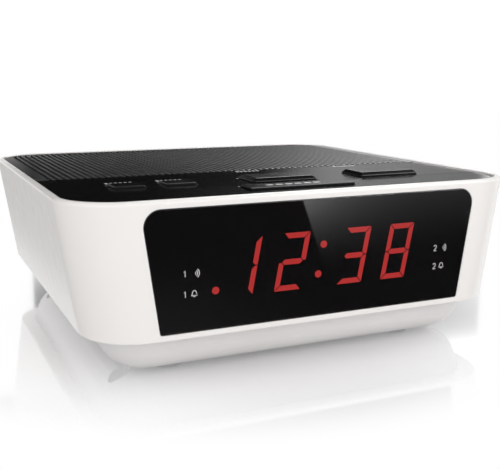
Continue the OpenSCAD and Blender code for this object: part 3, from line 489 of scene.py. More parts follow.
def glossy_shell(c):
    """Polished white moulded plastic: an even tone, a faint flow pattern and a clear gloss."""
    finish = moulded_plastic("white_shell", c.shell, 0.24, grain=0.0009, depth=0.0000012, spread=0.008)
    finish.shader.inputs["Specular IOR Level"].default_value = 0.45
    finish.shader.inputs["Subsurface Weight"].default_value = 0.08
    finish.shader.inputs["Subsurface Radius"].default_value = (0.9, 0.8, 0.7)
    finish.shader.inputs["Subsurface Scale"].default_value = 0.0012
    return finish


def dull_black(c):
    """Black moulded plastic of the keys, which mirrors less than the deck."""
    finish = moulded_plastic("key_black", c.keys, 0.2, grain=0.0006, depth=0.000001)
    finish.shader.inputs["Specular IOR Level"].default_value = 0.22
    return finish


POLISHED, MATT = 0.13, 0.36    # roughness of the deck in front of the ribs and at them
MATT_BLEND = 0.00005           # half the width of the change from one to the other


def polished_and_matt(c):
    """Black moulded plastic, polished in front of the ribs and matt where the ribs are."""
    finish = moulded_plastic("black_deck", c.deck, MATT, grain=0.0005, depth=0.0000015)
    border = bpy.context.scene.clock_radio.deck.rib_front
    along = finish.node("ShaderNodeSeparateXYZ")
    finish.links.new(finish.coordinates, along.inputs["Vector"])
    gloss = finish.node("ShaderNodeMapRange")
    gloss.inputs["From Min"].default_value = border - MATT_BLEND
    gloss.inputs["From Max"].default_value = border + MATT_BLEND
    gloss.inputs["To Min"].default_value = POLISHED
    gloss.inputs["To Max"].default_value = MATT
    finish.links.new(along.outputs["Y"], gloss.inputs["Value"])
    finish.links.new(gloss.outputs["Result"], finish.shader.inputs["Roughness"])
    return finish


def smoked_acrylic(c):
    """Polished smoked acrylic: clear glass with a dark tint and the faintest waviness."""
    finish = Finish("smoked_window", c.window, 0.02, Transmission_Weight=1.0, IOR=1.49)
    finish.tint(finish.noise(40, 2), shade(c.window, 0.97), shade(c.window, 1.03))
    finish.bump(finish.noise(90, 2), 0.0000006)
    return finish


def lit_diffuser(c):
    """A lit segment: a red diffuser that glows evenly."""
    finish = Finish("led_red", (0.5, 0.02, 0.02), 0.5, Emission_Color=(*c.lit, 1),
                    Emission_Strength=4.4)
    finish.rough(finish.noise(900, 2), 0.4, 0.6)
    return finish


def rubber(name, tone, roughness=0.75, grain=0.0003):
    """Moulded rubber: matt, with a fine powdery grain."""
    finish = moulded_plastic(name, tone, roughness, grain=grain, depth=0.000012, spread=0.08)
    finish.shader.inputs["Sheen Weight"].default_value = 0.15
    finish.shader.inputs["Sheen Roughness"].default_value = 0.5
    return finish


def pressed_paper(name, tone):
    """A pressed paper cone: short fibres that lie every way."""
    finish = Finish(name, tone, 0.9)
    fibres = finish.noise(1400, 6, (1, 1, 3))
    finish.tint(fibres, shade(tone, 0.6), shade(tone, 1.5))
    finish.rough(fibres, 0.8, 0.98)
    finish.bump(fibres, 0.00004)
    return finish


def painted_steel(name, tone, roughness=0.45):
    """Pressed steel under paint, with a slight orange-peel texture."""
    finish = Finish(name, tone, roughness, Coat_Weight=0.3, Coat_Roughness=0.25)
    finish.tint(finish.noise(30, 2), shade(tone, 0.9), shade(tone, 1.1))
    peel = finish.noise(1800, 1)
    finish.rough(peel, roughness * 0.85, roughness * 1.15)
    finish.bump(peel, 0.000008)
    return finish


RECIPES = {
    "white_shell": glossy_shell,
    "black_deck": polished_and_matt,
    "key_black": dull_black,
    # The base's grey holds painted shade from under the sleeve as well as the plastic's own pale tone.
    "pale_base": lambda c: moulded_plastic("pale_base", c.base, 0.38, grain=0.0004, depth=0.000003),
    "smoked_window": smoked_acrylic,
    "mask_black": lambda c: moulded_plastic("mask_black", (0.004, 0.004, 0.0045), 0.6),
    "led_red": lit_diffuser,
    "led_unlit": lambda c: moulded_plastic("led_unlit", (0.006, 0.003, 0.003), 0.5),
    "board_green": lambda c: circuit_board("board_green", (0.012, 0.075, 0.025), (0.03, 0.15, 0.05)),
    "board_brown": lambda c: circuit_board("board_brown", (0.16, 0.075, 0.02), (0.24, 0.13, 0.045)),
    "screw_steel": lambda c: metal("screw_steel", (0.56, 0.55, 0.53), 0.32),
    "contact_nickel": lambda c: metal("contact_nickel", (0.66, 0.63, 0.57), 0.22, (1, 1, 8)),
    "can_metal": lambda c: metal("can_metal", (0.72, 0.72, 0.73), 0.28, (1, 1, 10)),
    "keypad_rubber": lambda c: rubber("keypad_rubber", (0.27, 0.27, 0.28)),
    "foot_rubber": lambda c: rubber("foot_rubber", (0.012, 0.012, 0.012)),
    "surround_rubber": lambda c: rubber("surround_rubber", (0.008, 0.008, 0.008), 0.6),
    "speaker_steel": lambda c: painted_steel("speaker_steel", (0.02, 0.02, 0.022)),
    "magnet_grey": lambda c: painted_steel("magnet_grey", (0.035, 0.035, 0.038), 0.7),
    "cell_jacket": lambda c: painted_steel("cell_jacket", (0.012, 0.09, 0.035), 0.35),
    "cone_paper": lambda c: pressed_paper("cone_paper", (0.01, 0.01, 0.01)),
    "chip_black": lambda c: moulded_plastic("chip_black", (0.006, 0.006, 0.006), 0.6, spread=0.1),
    "capacitor_sleeve": lambda c: moulded_plastic("capacitor_sleeve", (0.006, 0.01, 0.04), 0.25),
    "plug_ivory": lambda c: moulded_plastic("plug_ivory", (0.69, 0.63, 0.48), 0.45),
    "ribbon_grey": lambda c: banded("ribbon_grey", (0.14, 0.14, 0.15), (0.32, 0.32, 0.33), 0.5,
                                    140, "X"),
    "lead_red": lambda c: banded("lead_red", (0.2, 0.005, 0.004), (0.42, 0.012, 0.01), 0.45, 160, "X"),
    "lead_black": lambda c: banded("lead_black", (0.004, 0.004, 0.004), (0.014, 0.014, 0.014), 0.45,
                                   160, "X"),
    "lead_yellow": lambda c: banded("lead_yellow", (0.3, 0.2, 0.01), (0.55, 0.38, 0.02), 0.45,
                                    160, "X"),
    "core_iron": lambda c: banded("core_iron", (0.03, 0.03, 0.032), (0.11, 0.11, 0.115), 0.45,
                                  320, "X", 0.8),
    "winding_tape": lambda c: banded("winding_tape", (0.38, 0.24, 0.03), (0.6, 0.43, 0.08), 0.4, 60, "Z"),
}


def finish_of(slot, context):
    """The material of a slot, made once."""
    if slot not in made_finishes:
        made_finishes[slot] = RECIPES[slot](context.scene.clock_radio.colours).material
    return made_finishes[slot]


# ---------- where the case's walls are ----------

class Sleeve:
    """The leaning walls of the case. Both the half width and the half depth are straight lines
    over the height, so a wall's place follows from the height alone."""

    def __init__(self, sizes, window):
        low, high = corners("housing_shell")
        self.sizes, self.window = sizes, window
        self.hx, self.hy, self.rim, self.foot = high[0], high[1], high[2], low[2]
        self.widest = self.rim - sizes.rim_chamfer
        self.side_slope = sizes.side_lean / (self.widest - self.foot)
        self.end_slope = sizes.end_lean / (self.widest - self.foot)
        self.tilt = math.atan(self.end_slope)
        depth = window.thickness / 2 * math.sin(self.tilt)
        self.window_z = middle("display_window")[2] - depth - window.drop
        self.wall_depth = sizes.wall * math.cos(self.tilt)

    def end_y(self, z):
        """Half depth at height z."""
        return self.hy - self.end_slope * (self.widest - z)

    def row(self, z, inset=0.0, up=0.0):
        """Half sizes, corner radius and height of the outline at height z, set in by inset and
        drawn at a height up above z."""
        hx = self.hx - self.side_slope * (self.widest - z)
        return hx - inset, self.end_y(z) - inset, self.sizes.corner - inset, z + up

    def front(self, points):
        """Places points given as (x, height, depth) on the front face: height is measured along
        the leaning face from the window's middle, and depth square to it."""
        x, height, depth = np.moveaxis(np.asarray(points), -1, 0)
        y = -self.end_y(self.window_z) + depth * math.cos(self.tilt) - height * math.sin(self.tilt)
        z = self.window_z + depth * math.sin(self.tilt) + height * math.cos(self.tilt)
        return np.stack([x, y, z], -1)

    def outline(self, grow, depth, limit=None):
        """The window's outline: two leaning sides with an arc at each corner, grown by grow, as
        points on the front face at a depth. Heights stop at a limit where one is given."""
        w = self.window
        lean = math.atan((w.top - w.bottom) / w.height)
        half = w.height / 2 + grow

        def corner(radius, side, start, end):
            """An arc whose centre is a radius inside the leaning side and the level edge."""
            radius = max(radius + grow, 0.0001)
            height = side * (half - radius)
            x = (w.top + w.bottom) / 2 + height * math.tan(lean) + (grow - radius) / math.cos(lean)
            a = np.linspace(start, end, SMALL_STEPS * 2 + 1)
            return np.column_stack([x + radius * np.cos(a), height + radius * np.sin(a)])

        right = np.concatenate([corner(w.foot_corner, -1, -math.pi / 2, -lean),
                                corner(w.corner, 1, -lean, math.pi / 2)])
        both = np.concatenate([right, right[::-1] * [-1, 1]])
        if limit is not None:
            both[:, 1] = np.minimum(both[:, 1], limit)
        return self.front(np.column_stack([both, np.full(len(both), depth)]))


def sleeve_of(context):
    """The case's walls with the sizes that are set."""
    settings = context.scene.clock_radio
    return Sleeve(settings.case, settings.window)


def on_front(sleeve, part):
    """Moves a part made about (x, height) with its length along Z onto the front face."""
    return sleeve.front(part[0]), part[1]


# ---------- operators ----------

class AddCamera(bpy.types.Operator):
    """Adds the camera, level and a little above the deck, at the front left"""
    bl_idname = "clock_radio.add_camera"
    bl_label = "Camera"

    def execute(self, context):
        look = context.scene.clock_radio.stage
        data = bpy.data.cameras.new("camera")
        data.lens = look.lens
        data.clip_start = 0.01
        camera = bpy.data.objects.new("camera", data)
        camera.location = look.camera_place
        sight = Vector(look.camera_target) - Vector(look.camera_place)
        camera.rotation_euler = sight.to_track_quat("-Z", "Y").to_euler()
        context.scene.collection.objects.link(camera)
        context.scene.camera = camera
        return {"FINISHED"}


class AddSleeve(bpy.types.Operator):
    """Adds the white sleeve: one profile carried round a rounded rectangle whose sizes change
    with the height, with the window's opening in front and two holes at the back"""
    bl_idname = "clock_radio.add_sleeve"
    bl_label = "Sleeve"

    def execute(self, context):
        s = context.scene.clock_radio.case
        sleeve = sleeve_of(context)
        rows, flat_rows = self.profile(context, sleeve, s)
        rings = np.array([ring(*row) for row in rows])
        quarter = CORNER_STEPS + 1
        # The front's flat face, and the back's with the first facet of the corner beside it,
        # which the aerial's hole reaches
        flats = ((3 * quarter - 1, 3 * quarter), (quarter - 2, quarter))
        cut = [(row, at) for row in flat_rows for start, end in flats for at in range(start, end)]
        parts = [skin(rings, closed=True, openings=cut)]
        holes = [self.window_reveal(sleeve), self.back_reveals(sleeve)]
        for (start, end), reveals in zip(flats, holes):
            for row, face in zip(flat_rows, (0, -1)):
                edge = np.concatenate([rings[row, start:end + 1], rings[row + 1, start:end + 1][::-1]])
                parts.append(sheet([edge] + [reveal[face] for reveal in reveals], (0, 2)))
            parts += [sides(reveal) for reveal in reveals]
        for side_x in (-1, 1):
            for side_z in (-1, 1):
                place = (side_x * s.boss_x, side_z * s.boss_z)
                boss = tube(place, s.boss, s.boss_bore, sleeve.wall_depth - JOIN, s.board_depth)
                parts.append(on_front(sleeve, boss))
        make_piece("white_sleeve", parts, finish_of("white_shell", context), "case",
                   ["housing_shell"])
        return {"FINISHED"}

    def profile(self, context, sleeve, s):
        """The section from the lower edge up the outside, over the rim, and down the inside, as
        rows of half sizes, corner radius and height. Also the rows below which the outer and
        the inner wall are flat."""
        deck = context.scene.clock_radio.deck
        top = corners("top_deck")[1]
        open_x, open_y = top[0] + deck.gap, top[1] + deck.gap
        seat = top[2] - deck.thickness
        inner_top, inner_foot = seat - s.ledge_height, sleeve.foot + s.flange
        base = corners("base_tray")[1]
        foot = (base[0] - s.base_overlap, base[1] - s.base_overlap, s.base_corner)
        rows = [sleeve.row(sleeve.foot + s.foot_round - up, inward)
                for inward, up in fillet(s.foot_round)[::-1]]
        outer_row = len(rows) - 1
        rows += [sleeve.row(sleeve.rim - s.rim_round, inward, up) for inward, up in fillet(s.rim_round)]
        rows += [(open_x + out, open_y + out, deck.corner + out, sleeve.rim - s.lip_round + up)
                 for out, up in fillet(s.lip_round)[::-1]]
        rows += [(open_x, open_y, deck.corner, seat)]
        rows += [(open_x - s.ledge, open_y - s.ledge, deck.corner - s.ledge, z)
                 for z in (seat, inner_top)]
        inner_row = len(rows)
        rows += [sleeve.row(z, s.wall) for z in (inner_top, inner_foot)]
        rows += [(*foot, z) for z in (inner_foot, sleeve.foot)]
        return rows, (outer_row, inner_row)

    def window_reveal(self, sleeve):
        """Rings of the window's opening from the outer face to the inner one: a rounded edge,
        the recess that holds the window, and a ledge behind its edge."""
        w = sleeve.window
        ledge_t, below_deck = 0.0006, 0.0062
        steps = [(w.gap + w.opening_edge - up, inward, None) for inward, up in fillet(w.opening_edge)]
        behind = w.thickness + ledge_t
        clear = corners("top_deck")[1][2] - sleeve.window_z - below_deck
        steps += [(w.gap, w.thickness, None), (-w.ledge, w.thickness, None), (-w.ledge, behind, None),
                  (-w.ledge, behind, clear), (-w.ledge, sleeve.wall_depth, clear)]
        return [np.array([sleeve.outline(*step) for step in steps])]

    def back_reveals(self, sleeve):
        """Rings of the round holes at the back: a recess for the cord's bush with a bore through
        it, and the bore for the aerial."""
        s = sleeve.sizes
        low, high = corners("cord_gland")
        place = middle("cord_gland")
        edge, bush_neck, bush_head = 0.0002, 0.00395, 0.0013
        recess, seat = (high[0] - low[0]) / 2 + SEAT_GAP, high[1] - bush_head

        def circle(x, r, depth=0.0, y=None):
            """A circle in the back wall, at a depth below its leaning face or all at one y."""
            points = ring(r, r, r, 0, 8, (x, place[2]))
            z = points[:, 1]
            return np.column_stack([points[:, 0], sleeve.end_y(z) - depth if y is None else y + 0 * z, z])

        gland = [circle(place[0], recess + edge), circle(place[0], recess, edge),
                 circle(place[0], recess, y=seat), circle(place[0], bush_neck, y=seat),
                 circle(place[0], bush_neck, s.wall)]
        aerial = [circle(s.aerial_x, s.aerial_bore + edge), circle(s.aerial_x, s.aerial_bore, edge),
                  circle(s.aerial_x, s.aerial_bore, s.wall)]
        return [np.array(gland), np.array(aerial)]


class Deck:
    """The black deck: where its faces and its openings are."""

    def __init__(self, context):
        self.sizes = context.scene.clock_radio.deck
        self.keys = context.scene.clock_radio.keys
        s = self.sizes
        self.hx, self.hy, self.top = corners("top_deck")[1]
        self.under = self.top - s.thickness
        self.corner = s.corner - s.gap
        self.crease = -self.hy - s.gap + s.strip
        self.speaker = middle("speaker_cone")[:2]
        level, strip = self.top - s.level_drop, self.top - s.level_drop - s.crease_step
        self.section = [(-self.hy - s.gap, strip - s.strip_fall), (self.crease - s.crease_step, strip),
                        (self.crease, level), (s.rib_front - s.riser, level), (s.rib_front, self.top)]

    def height(self, y):
        """Height of the upper face, from the section's points: a falling strip in front, a small
        step at the crease, a level part, and a short rise to the ribs' crests."""
        return np.interp(y, *np.transpose(self.section))

    def outline(self, inset, drop, flat=None):
        """The deck's outline set in by inset and drop below the upper face, or at the height
        flat. On either side it has a point for each bend of the section."""
        loop = rounded_rect(self.hx - inset, self.hy - inset, self.corner - inset, CORNER_STEPS)
        left = 2 * (CORNER_STEPS + 1)
        bends = np.array([(self.hx - inset, y) for y, _ in self.section[1:]])
        loop = np.concatenate([loop[:left], bends[::-1] * [-1, 1], loop[left:], bends])
        z = self.height(loop[:, 1]) - drop if flat is None else np.full(len(loop), flat)
        return np.column_stack([loop, z])

    def hole(self, half, centre, grow, drop, flat=None):
        """The outline of one of the openings for the keys."""
        radius = self.sizes.hole_corner + grow
        loop = rounded_rect(half[0] + grow, half[1] + grow, radius, KEY_STEPS) + np.array(centre)
        z = self.height(loop[:, 1]) - drop if flat is None else np.full(len(loop), flat)
        return np.column_stack([loop, z])

    def openings(self):
        """Half sizes and centres of the openings for the keys, from the keys' own boxes."""
        found = []
        for node in ("source_key", "set_key", "snooze_bar"):
            low, high = corners(node)
            half = (high - low)[:2] / 2 - self.keys.flange_out + self.sizes.key_gap
            found.append((half, middle(node)[:2]))
        for node in ("tuning_rocker", "volume_rocker"):
            low, high = corners(node)
            gaps = np.array([self.sizes.rocker_gap - self.keys.rocker_inset, self.sizes.key_gap])
            found.append(((high - low)[:2] / 2 + gaps, middle(node)[:2]))
        return found


UNDER_SIZES = {
    "post": 0.0032,             # radius of the posts for the case's screws
    "post_bore": 0.0013,
    "post_foot": 0.01435,       # height at which they end
    "post_inset": 0.00247,      # from the screws' outermost side to their axis
    "seat": 0.0285,             # outer radius of the loudspeaker's seat
    "seat_wall": 0.004,
    "ear_reach": 0.0311,        # from the loudspeaker's axis to its ears
    "ear": 0.0024,
    "screw_bore": 0.0008,       # radius of the small screws' holes
    "boss": 0.0022,             # radius of the bosses for the key board
    "boss_left": -0.0185,
    "boss_right": 0.0174,
    "boss_behind": 0.0015,      # how far two of them stand behind the single keys' middle
    "boss_inset": 0.00152,      # from the screws' outermost side to their axis
    "lug": 0.002,               # half width of the lugs that hold the rockers' pins
    "lug_deep": 0.0016,
    "lug_chin": 0.001,          # how far a lug reaches below its pin
    "lug_round": 0.0003,
}


class AddDeck(bpy.types.Operator):
    """Adds the black deck: flat faces round the openings, and a ribbed field whose section is
    carried from front to back, with slots in the grooves above the loudspeaker"""
    bl_idname = "clock_radio.add_deck"
    bl_label = "Deck"

    def execute(self, context):
        """The upper face is made in sheets between the section's bends: the falling strip, the
        small step at the crease, the level part, the rise beside the ribs, and the margin."""
        deck = Deck(context)
        s = deck.sizes
        edge = fillet(s.edge)[::-1]
        top = deck.outline(s.edge, 0)
        wall = [deck.outline(inward, s.edge - up) for inward, up in edge]
        under = deck.outline(0, 0, deck.under)
        parts = [sides(np.array(wall + [under]))]
        openings = deck.openings()
        mouths, feet = [], []
        for half, centre in openings:
            rings = [deck.hole(half, centre, inward, s.edge - up) for inward, up in edge]
            rings.append(deck.hole(half, centre, 0, 0, deck.under))
            parts.append(sides(np.array(rings)))
            mouths.append(rings[0])
            feet.append(rings[-1])
        field, grid, slots = self.ribs(deck)
        parts.append(field)
        left = 2 * (CORNER_STEPS + 1)
        before = [mouth for mouth in mouths if mouth[0, 1] < deck.crease]
        behind = [mouth for mouth in mouths if mouth[0, 1] > deck.crease]
        parts.append(sheet([top[left + 3:-3]] + before))
        parts.append((top[[left + 2, left + 3, -4, -3]], [np.arange(4)[None]]))
        level = np.concatenate([top[[left + 2, left + 1]], grid[0], top[[-2, -3]]])
        parts.append(sheet([level] + behind))
        for high, low, column in ((left, left + 1, 0), (-1, -2, -1)):
            parts.append((np.array([top[high], top[low], *grid[:2, column]]), [np.arange(4)[None]]))
        parts.append(sheet([np.concatenate([top[-1:], top[:left + 1], grid[1:, 0], grid[-1, 1:],
                                            grid[-2:0:-1, -1]])]))
        for slot in slots:
            foot = slot * [1, 1, 0] + [0, 0, deck.under]
            parts.append(sides(np.array([slot, foot])))
            feet.append(foot)
        parts.append(sheet([under] + feet))
        parts += self.underside(deck)
        make_piece("ribbed_deck", parts, finish_of("black_deck", context), "case",
                   ["top_deck"], soft_angle=40)
        return {"FINISHED"}

    def ribs(self, deck):
        """The ribbed field. Its section across is a row of rounded crests: offsets from a crest
        and the heights there. Each crest rises from the level part in front; at the back the
        grooves fade to nothing on a short ramp that follows the deck's rounded corners. Returns
        the surface, its grid of points and the mouths of the sound slots."""
        s = deck.sizes
        slot_sides = (5, 6)     # the two offsets that bound a groove's level bottom
        shortest_slot, slot_margin = 0.3, 0.002
        last_ramp, last_fade = 0.35, 0.55
        pitch = s.rib_pitch
        count = int((deck.hx - s.rib_margin) / pitch)
        crest = np.array([0, 0.16, 0.225, 0.262, 0.285, 0.3]) * pitch
        shape = np.array([0, 0.015, 0.11, 0.4, 1, 1])
        offsets = np.concatenate([crest, pitch - crest[:0:-1]])
        depth = np.concatenate([shape, shape[:0:-1]])
        first = np.arange(-count, count)[:, None] * pitch
        x = np.append((first + offsets).ravel(), count * pitch)
        share = np.append(np.tile(depth, 2 * count), 0)
        in_slot = np.append(np.tile(np.isin(np.arange(len(offsets)), slot_sides), 2 * count), False)
        groove = np.append(np.repeat(first.ravel() + pitch / 2, len(offsets)), 0)
        slot_x = np.where(in_slot, groove, x)
        reach = s.speaker_opening ** 2 - (slot_x - deck.speaker[0]) ** 2
        half = np.sqrt(np.maximum(reach, (shortest_slot * s.speaker_opening) ** 2))
        round_r = deck.corner + s.gap - s.rib_margin
        over = np.clip(np.abs(x) - (deck.hx - deck.corner), 0, round_r)
        end = deck.hy - deck.corner + np.sqrt(round_r ** 2 - over ** 2)
        ramp = s.rib_ramp
        front = 0 * x + s.rib_front
        y = np.array([front - s.riser, front, front + ramp, deck.speaker[1] - half,
                      deck.speaker[1] + half, end - ramp, end - last_ramp * ramp, end])
        fade = np.array([0, 0, 1, 1, 1, 1, last_fade, 0])[:, None]
        z = deck.top - s.rib_depth * share * fade
        z[0] = deck.top - s.level_drop
        z[1] = deck.top - s.level_drop * share
        grid = np.stack([np.tile(x, (len(y), 1)), y, z], -1)
        wide = len(x)
        index = np.arange(grid.shape[0] * wide).reshape(grid.shape[:2])
        cells = np.stack([index[:-1, :-1], index[:-1, 1:], index[1:, 1:], index[1:, :-1]], -1)
        near = np.abs(groove - deck.speaker[0]) < s.speaker_opening - slot_margin
        slots = np.flatnonzero(in_slot[:-1] & in_slot[1:] & near[:-1])
        kept = np.ones(cells.shape[:2], bool)
        kept[3, slots] = False
        mouths = [grid[[3, 3, 4, 4], [c, c + 1, c + 1, c]] for c in slots]
        return (grid.reshape(-1, 3), [cells[kept]]), grid, mouths

    def underside(self, deck):
        """What the deck carries below: posts for the case's screws, the loudspeaker's seat with
        its ears, bosses for the key board and lugs for the rockers' pins."""
        u = UNDER_SIZES
        foot = deck.under + JOIN
        posts = corners("case_screws")
        post_x, post_y = (posts[1] - posts[0])[:2] / 2 - u["post_inset"]
        parts = [tube((a * post_x, b * post_y), u["post"], u["post_bore"], u["post_foot"], foot)
                 for a in (-1, 1) for b in (-1, 1)]
        seat = corners("speaker_frame")[1][2]
        parts.append(tube(deck.speaker, u["seat"], u["seat"] - u["seat_wall"], seat, foot, steps=16))
        for angle in np.radians([45, 135, 225, 315]):
            place = deck.speaker + u["ear_reach"] * np.array([math.cos(angle), math.sin(angle)])
            parts.append(tube(place, u["ear"], u["screw_bore"], seat, foot))
        board = corners("key_board")[1][2]
        key_y = middle("source_key")[1] + u["boss_behind"]
        snooze_y = middle("snooze_bar")[1]
        reach = corners("key_board_screws")[1][0] - u["boss_inset"]
        for x, y in ((u["boss_left"], key_y), (u["boss_right"], key_y),
                     (-reach, snooze_y), (reach, snooze_y)):
            parts.append(tube((x, y), u["boss"], u["screw_bore"], board, foot))
        low, high = corners("rocker_pins")
        radius = (high[2] - low[2]) / 2
        pin_z = low[2] + radius
        for node in ("tuning_rocker", "volume_rocker"):
            for side in (-1, 1):
                outer = (low[1] + high[1]) / 2 + side * (high[1] - low[1]) / 2
                span = sorted((outer, outer - side * u["lug_deep"]))
                lug = bored_block((middle(node)[0], pin_z), u["lug"], radius + u["lug_chin"],
                                  u["lug_round"], radius, *span)
                lug[0][:, 1] = np.where(lug[0][:, 1] > pin_z + 1.5 * radius, foot, lug[0][:, 1])
                parts.append(along_y(lug))
        return parts


class AddKeys(bpy.types.Operator):
    """Adds the single keys, the snooze bar and the rockers: rounded rectangles carried up from
    the flange to a rounded top, with the stems that press the rubber domes"""
    bl_idname = "clock_radio.add_keys"
    bl_label = "Keys"

    def execute(self, context):
        finish = finish_of("key_black", context)
        s = context.scene.clock_radio.keys
        deck = Deck(context)
        for node, reach in (("source_key", [0]), ("set_key", [0]),
                            ("snooze_bar", [-s.snooze_reach, s.snooze_reach])):
            make_piece(node + "_cap", self.push_key(node, reach, s, deck), finish, node,
                       [node])
        for node in ("tuning_rocker", "volume_rocker"):
            make_piece(node + "_cap", self.rocker(node, s, deck), finish, node,
                       [node], soft_angle=20)
        return {"FINISHED"}

    def push_key(self, node, reach, s, deck):
        """A cap on its flange: the flange's outline, then the cap's, then the rounded edge."""
        low, high = corners(node)
        centre = middle(node)[:2]
        wide, deep = (high - low)[:2] / 2
        flange_top = deck.top - s.flange_below
        cap = (wide - s.flange_out, deep - s.flange_out, s.corner)
        rows = [(wide, deep, s.corner, flange_top - s.flange_height), (wide, deep, s.corner, flange_top),
                (*cap, flange_top)]
        rows += [(cap[0] - inward, cap[1] - inward, max(s.corner - inward, SHARPEST),
                  high[2] - s.key_edge + up) for inward, up in fillet(s.key_edge)]
        parts = [skin(np.array([ring(*row, KEY_STEPS, centre) for row in rows]))]
        parts += [rod(centre + [x, 0], s.stem, low[2], flange_top - s.flange_height + JOIN)
                  for x in reach]
        return parts

    def rocker(self, node, s, deck):
        """A bar with long chamfers at its ends and short ones along its sides: at a height h
        below the top the ends are set in by run (1 - h / fall) and the sides by run - h, with
        a last small rounding. Under it are the hub with its bore, the block that carries it and
        two stems."""
        low, high = corners(node)
        centre = middle(node)[:2]
        wide, deep = (high - low)[:2] / 2 - [s.rocker_inset, 0]
        last_round = 0.0002
        below = np.array([1.05, 0.945, 0.735, 0.525, 0.315, 0.126, 0.0315, 0]) * s.end_fall
        ease = np.array([0, 0, 0, 0, 0, 0, 0.25, 1]) * last_round
        ends = s.end_run * np.clip(1 - below / s.end_fall, 0, 1) + ease
        long = np.clip(s.side_run - below, 0, 1) + ease
        foot = deck.under + 2 * JOIN
        rows = [(wide, deep, s.corner, foot)]
        rows += [(wide - a, deep - b, s.corner, high[2] - h) for a, b, h in zip(ends, long, below)]
        parts = [skin(np.array([ring(*row, KEY_STEPS, centre) for row in rows]))]
        pivot = deck.top - s.pivot_below
        span = (centre[1] - deep, centre[1] + deep)
        hub = bored_block((centre[0], pivot), s.hub, s.hub, s.hub, s.hub_bore, *span)
        hub[0][:, 1] = np.where(hub[0][:, 1] > pivot + s.hub * 0.6, foot + JOIN, hub[0][:, 1])
        parts.append(along_y(hub))
        parts += [rod(centre + [x, 0], s.stem, low[2], foot + JOIN)
                  for x in (-s.rocker_reach, s.rocker_reach)]
        return parts


class AddWindow(bpy.types.Operator):
    """Adds the smoked window with a rounded front edge, and the black print on its back that
    leaves a clear field over the digits"""
    bl_idname = "clock_radio.add_window"
    bl_label = "Window"

    def execute(self, context):
        sleeve = sleeve_of(context)
        w = sleeve.window
        back = w.thickness - 2 * PRINT_T
        steps = [(up - w.edge, inward) for inward, up in fillet(w.edge)] + [(0, back)]
        rings = np.array([sleeve.outline(grow, depth) for grow, depth in steps])
        make_piece("smoked_window", [skin(rings)], finish_of("smoked_window", context), "case",
                   ["display_window"])
        block = corners("led_reflector")
        clear_side, print_inset = 0.0005, 0.00005
        half = (block[1] - block[0])[0] / 2 - clear_side, w.clear_height / 2
        lights = rounded_rect(*half, clear_side, KEY_STEPS) + [0, w.clear_place]
        faces = []
        for depth in (back + PRINT_T / 2, w.thickness - PRINT_T / 2):
            clear = sleeve.front(np.column_stack([lights, np.full(len(lights), depth)]))
            faces.append((sleeve.outline(-print_inset, depth), clear))
        (front, front_clear), (rear, rear_clear) = faces
        parts = [sheet(pair, (0, 2)) for pair in faces]
        parts += [sides(np.array(pair)) for pair in ((front, rear), (front_clear, rear_clear))]
        make_piece("window_backing", parts, finish_of("mask_black", context), "case")
        return {"FINISHED"}


# ---------- printed marks ----------

def stroke(path, width, lift=PRINT_T):
    """A printed line: a flat band of a width along a path of pairs, as a closed strip between
    the heights 0 and lift. The band's sides lie half the width to either side of the path,
    square to its direction."""
    path = np.asarray(path, float)
    along = np.gradient(path, axis=0)
    along /= np.linalg.norm(along, axis=1)[:, None]
    side = np.column_stack([-along[:, 1], along[:, 0]]) * width / 2
    corner = [path + side, path - side, path - side, path + side]
    high = [lift, lift, 0, 0]
    rings = np.stack([np.column_stack([p, np.full(len(p), h)]) for p, h in zip(corner, high)], 1)
    return skin(rings)


def turn(x, y, rx, ry, start, end, steps=8):
    """Points on an arc of an ellipse, with its angles in degrees."""
    a = np.radians(np.linspace(start, end, steps + 1))
    return np.column_stack([x + rx * np.cos(a), y + ry * np.sin(a)])


def moved(paths, x, y, scale):
    """Paths scaled and moved."""
    return [np.asarray(path) * scale + [x, y] for path in paths]


NUMBERS = {
    1: [[(-0.22, 0.72), (0.0, 1.0), (0.0, 0.5), (0.0, 0.0)]],
    2: [np.concatenate([turn(0, 0.72, 0.27, 0.28, 170, -40), [(-0.28, 0.0)]]),
        [(-0.28, 0.0), (0.3, 0.0)]],
}
BELL = [np.concatenate([[(-0.5, 0.2)], turn(0, 0.62, 0.33, 0.38, 190, -10, 12),
                        [(0.5, 0.2), (-0.5, 0.2)]]),
        turn(0, 0.16, 0.16, 0.16, 200, 340)]
WAVES = [turn(0, 0.45, r, r, -50, 50) for r in (0.25, 0.55, 0.85)]


DASHES = 6                      # in each row
MARK_SIZES = {
    "sign": 0.0016,             # height of a sign beside the digits
    "line": 0.00022,            # width of its lines
    "left": -0.0385,            # place across of the left column's numbers
    "right": 0.0367,            # and of the right column's
    "waves_z": -0.0014,         # heights of the two rows from the window's middle
    "bell_z": -0.0067,
    "beside": 0.0024,           # from a number to its sign
    "dash": 0.0008,             # width of one dash on the deck
    "row": 0.0070,              # from the first dash of a key to its last
    "depth": 0.0018,            # of the dashes on the deck, from front to back
    "behind_key": 0.0030,       # from a key's back edge to the middle of its dashes
    "before_ribs": 0.0030,      # from the ribs to the middle of the rockers' dashes
    "snooze_dash": 0.0020,      # width of one dash on the snooze bar
    "snooze_depth": 0.0014,     # and its depth from front to back
    "snooze_start": -0.0088,    # middle of its first dash
    "snooze_end": 0.0058,       # and of its last
}


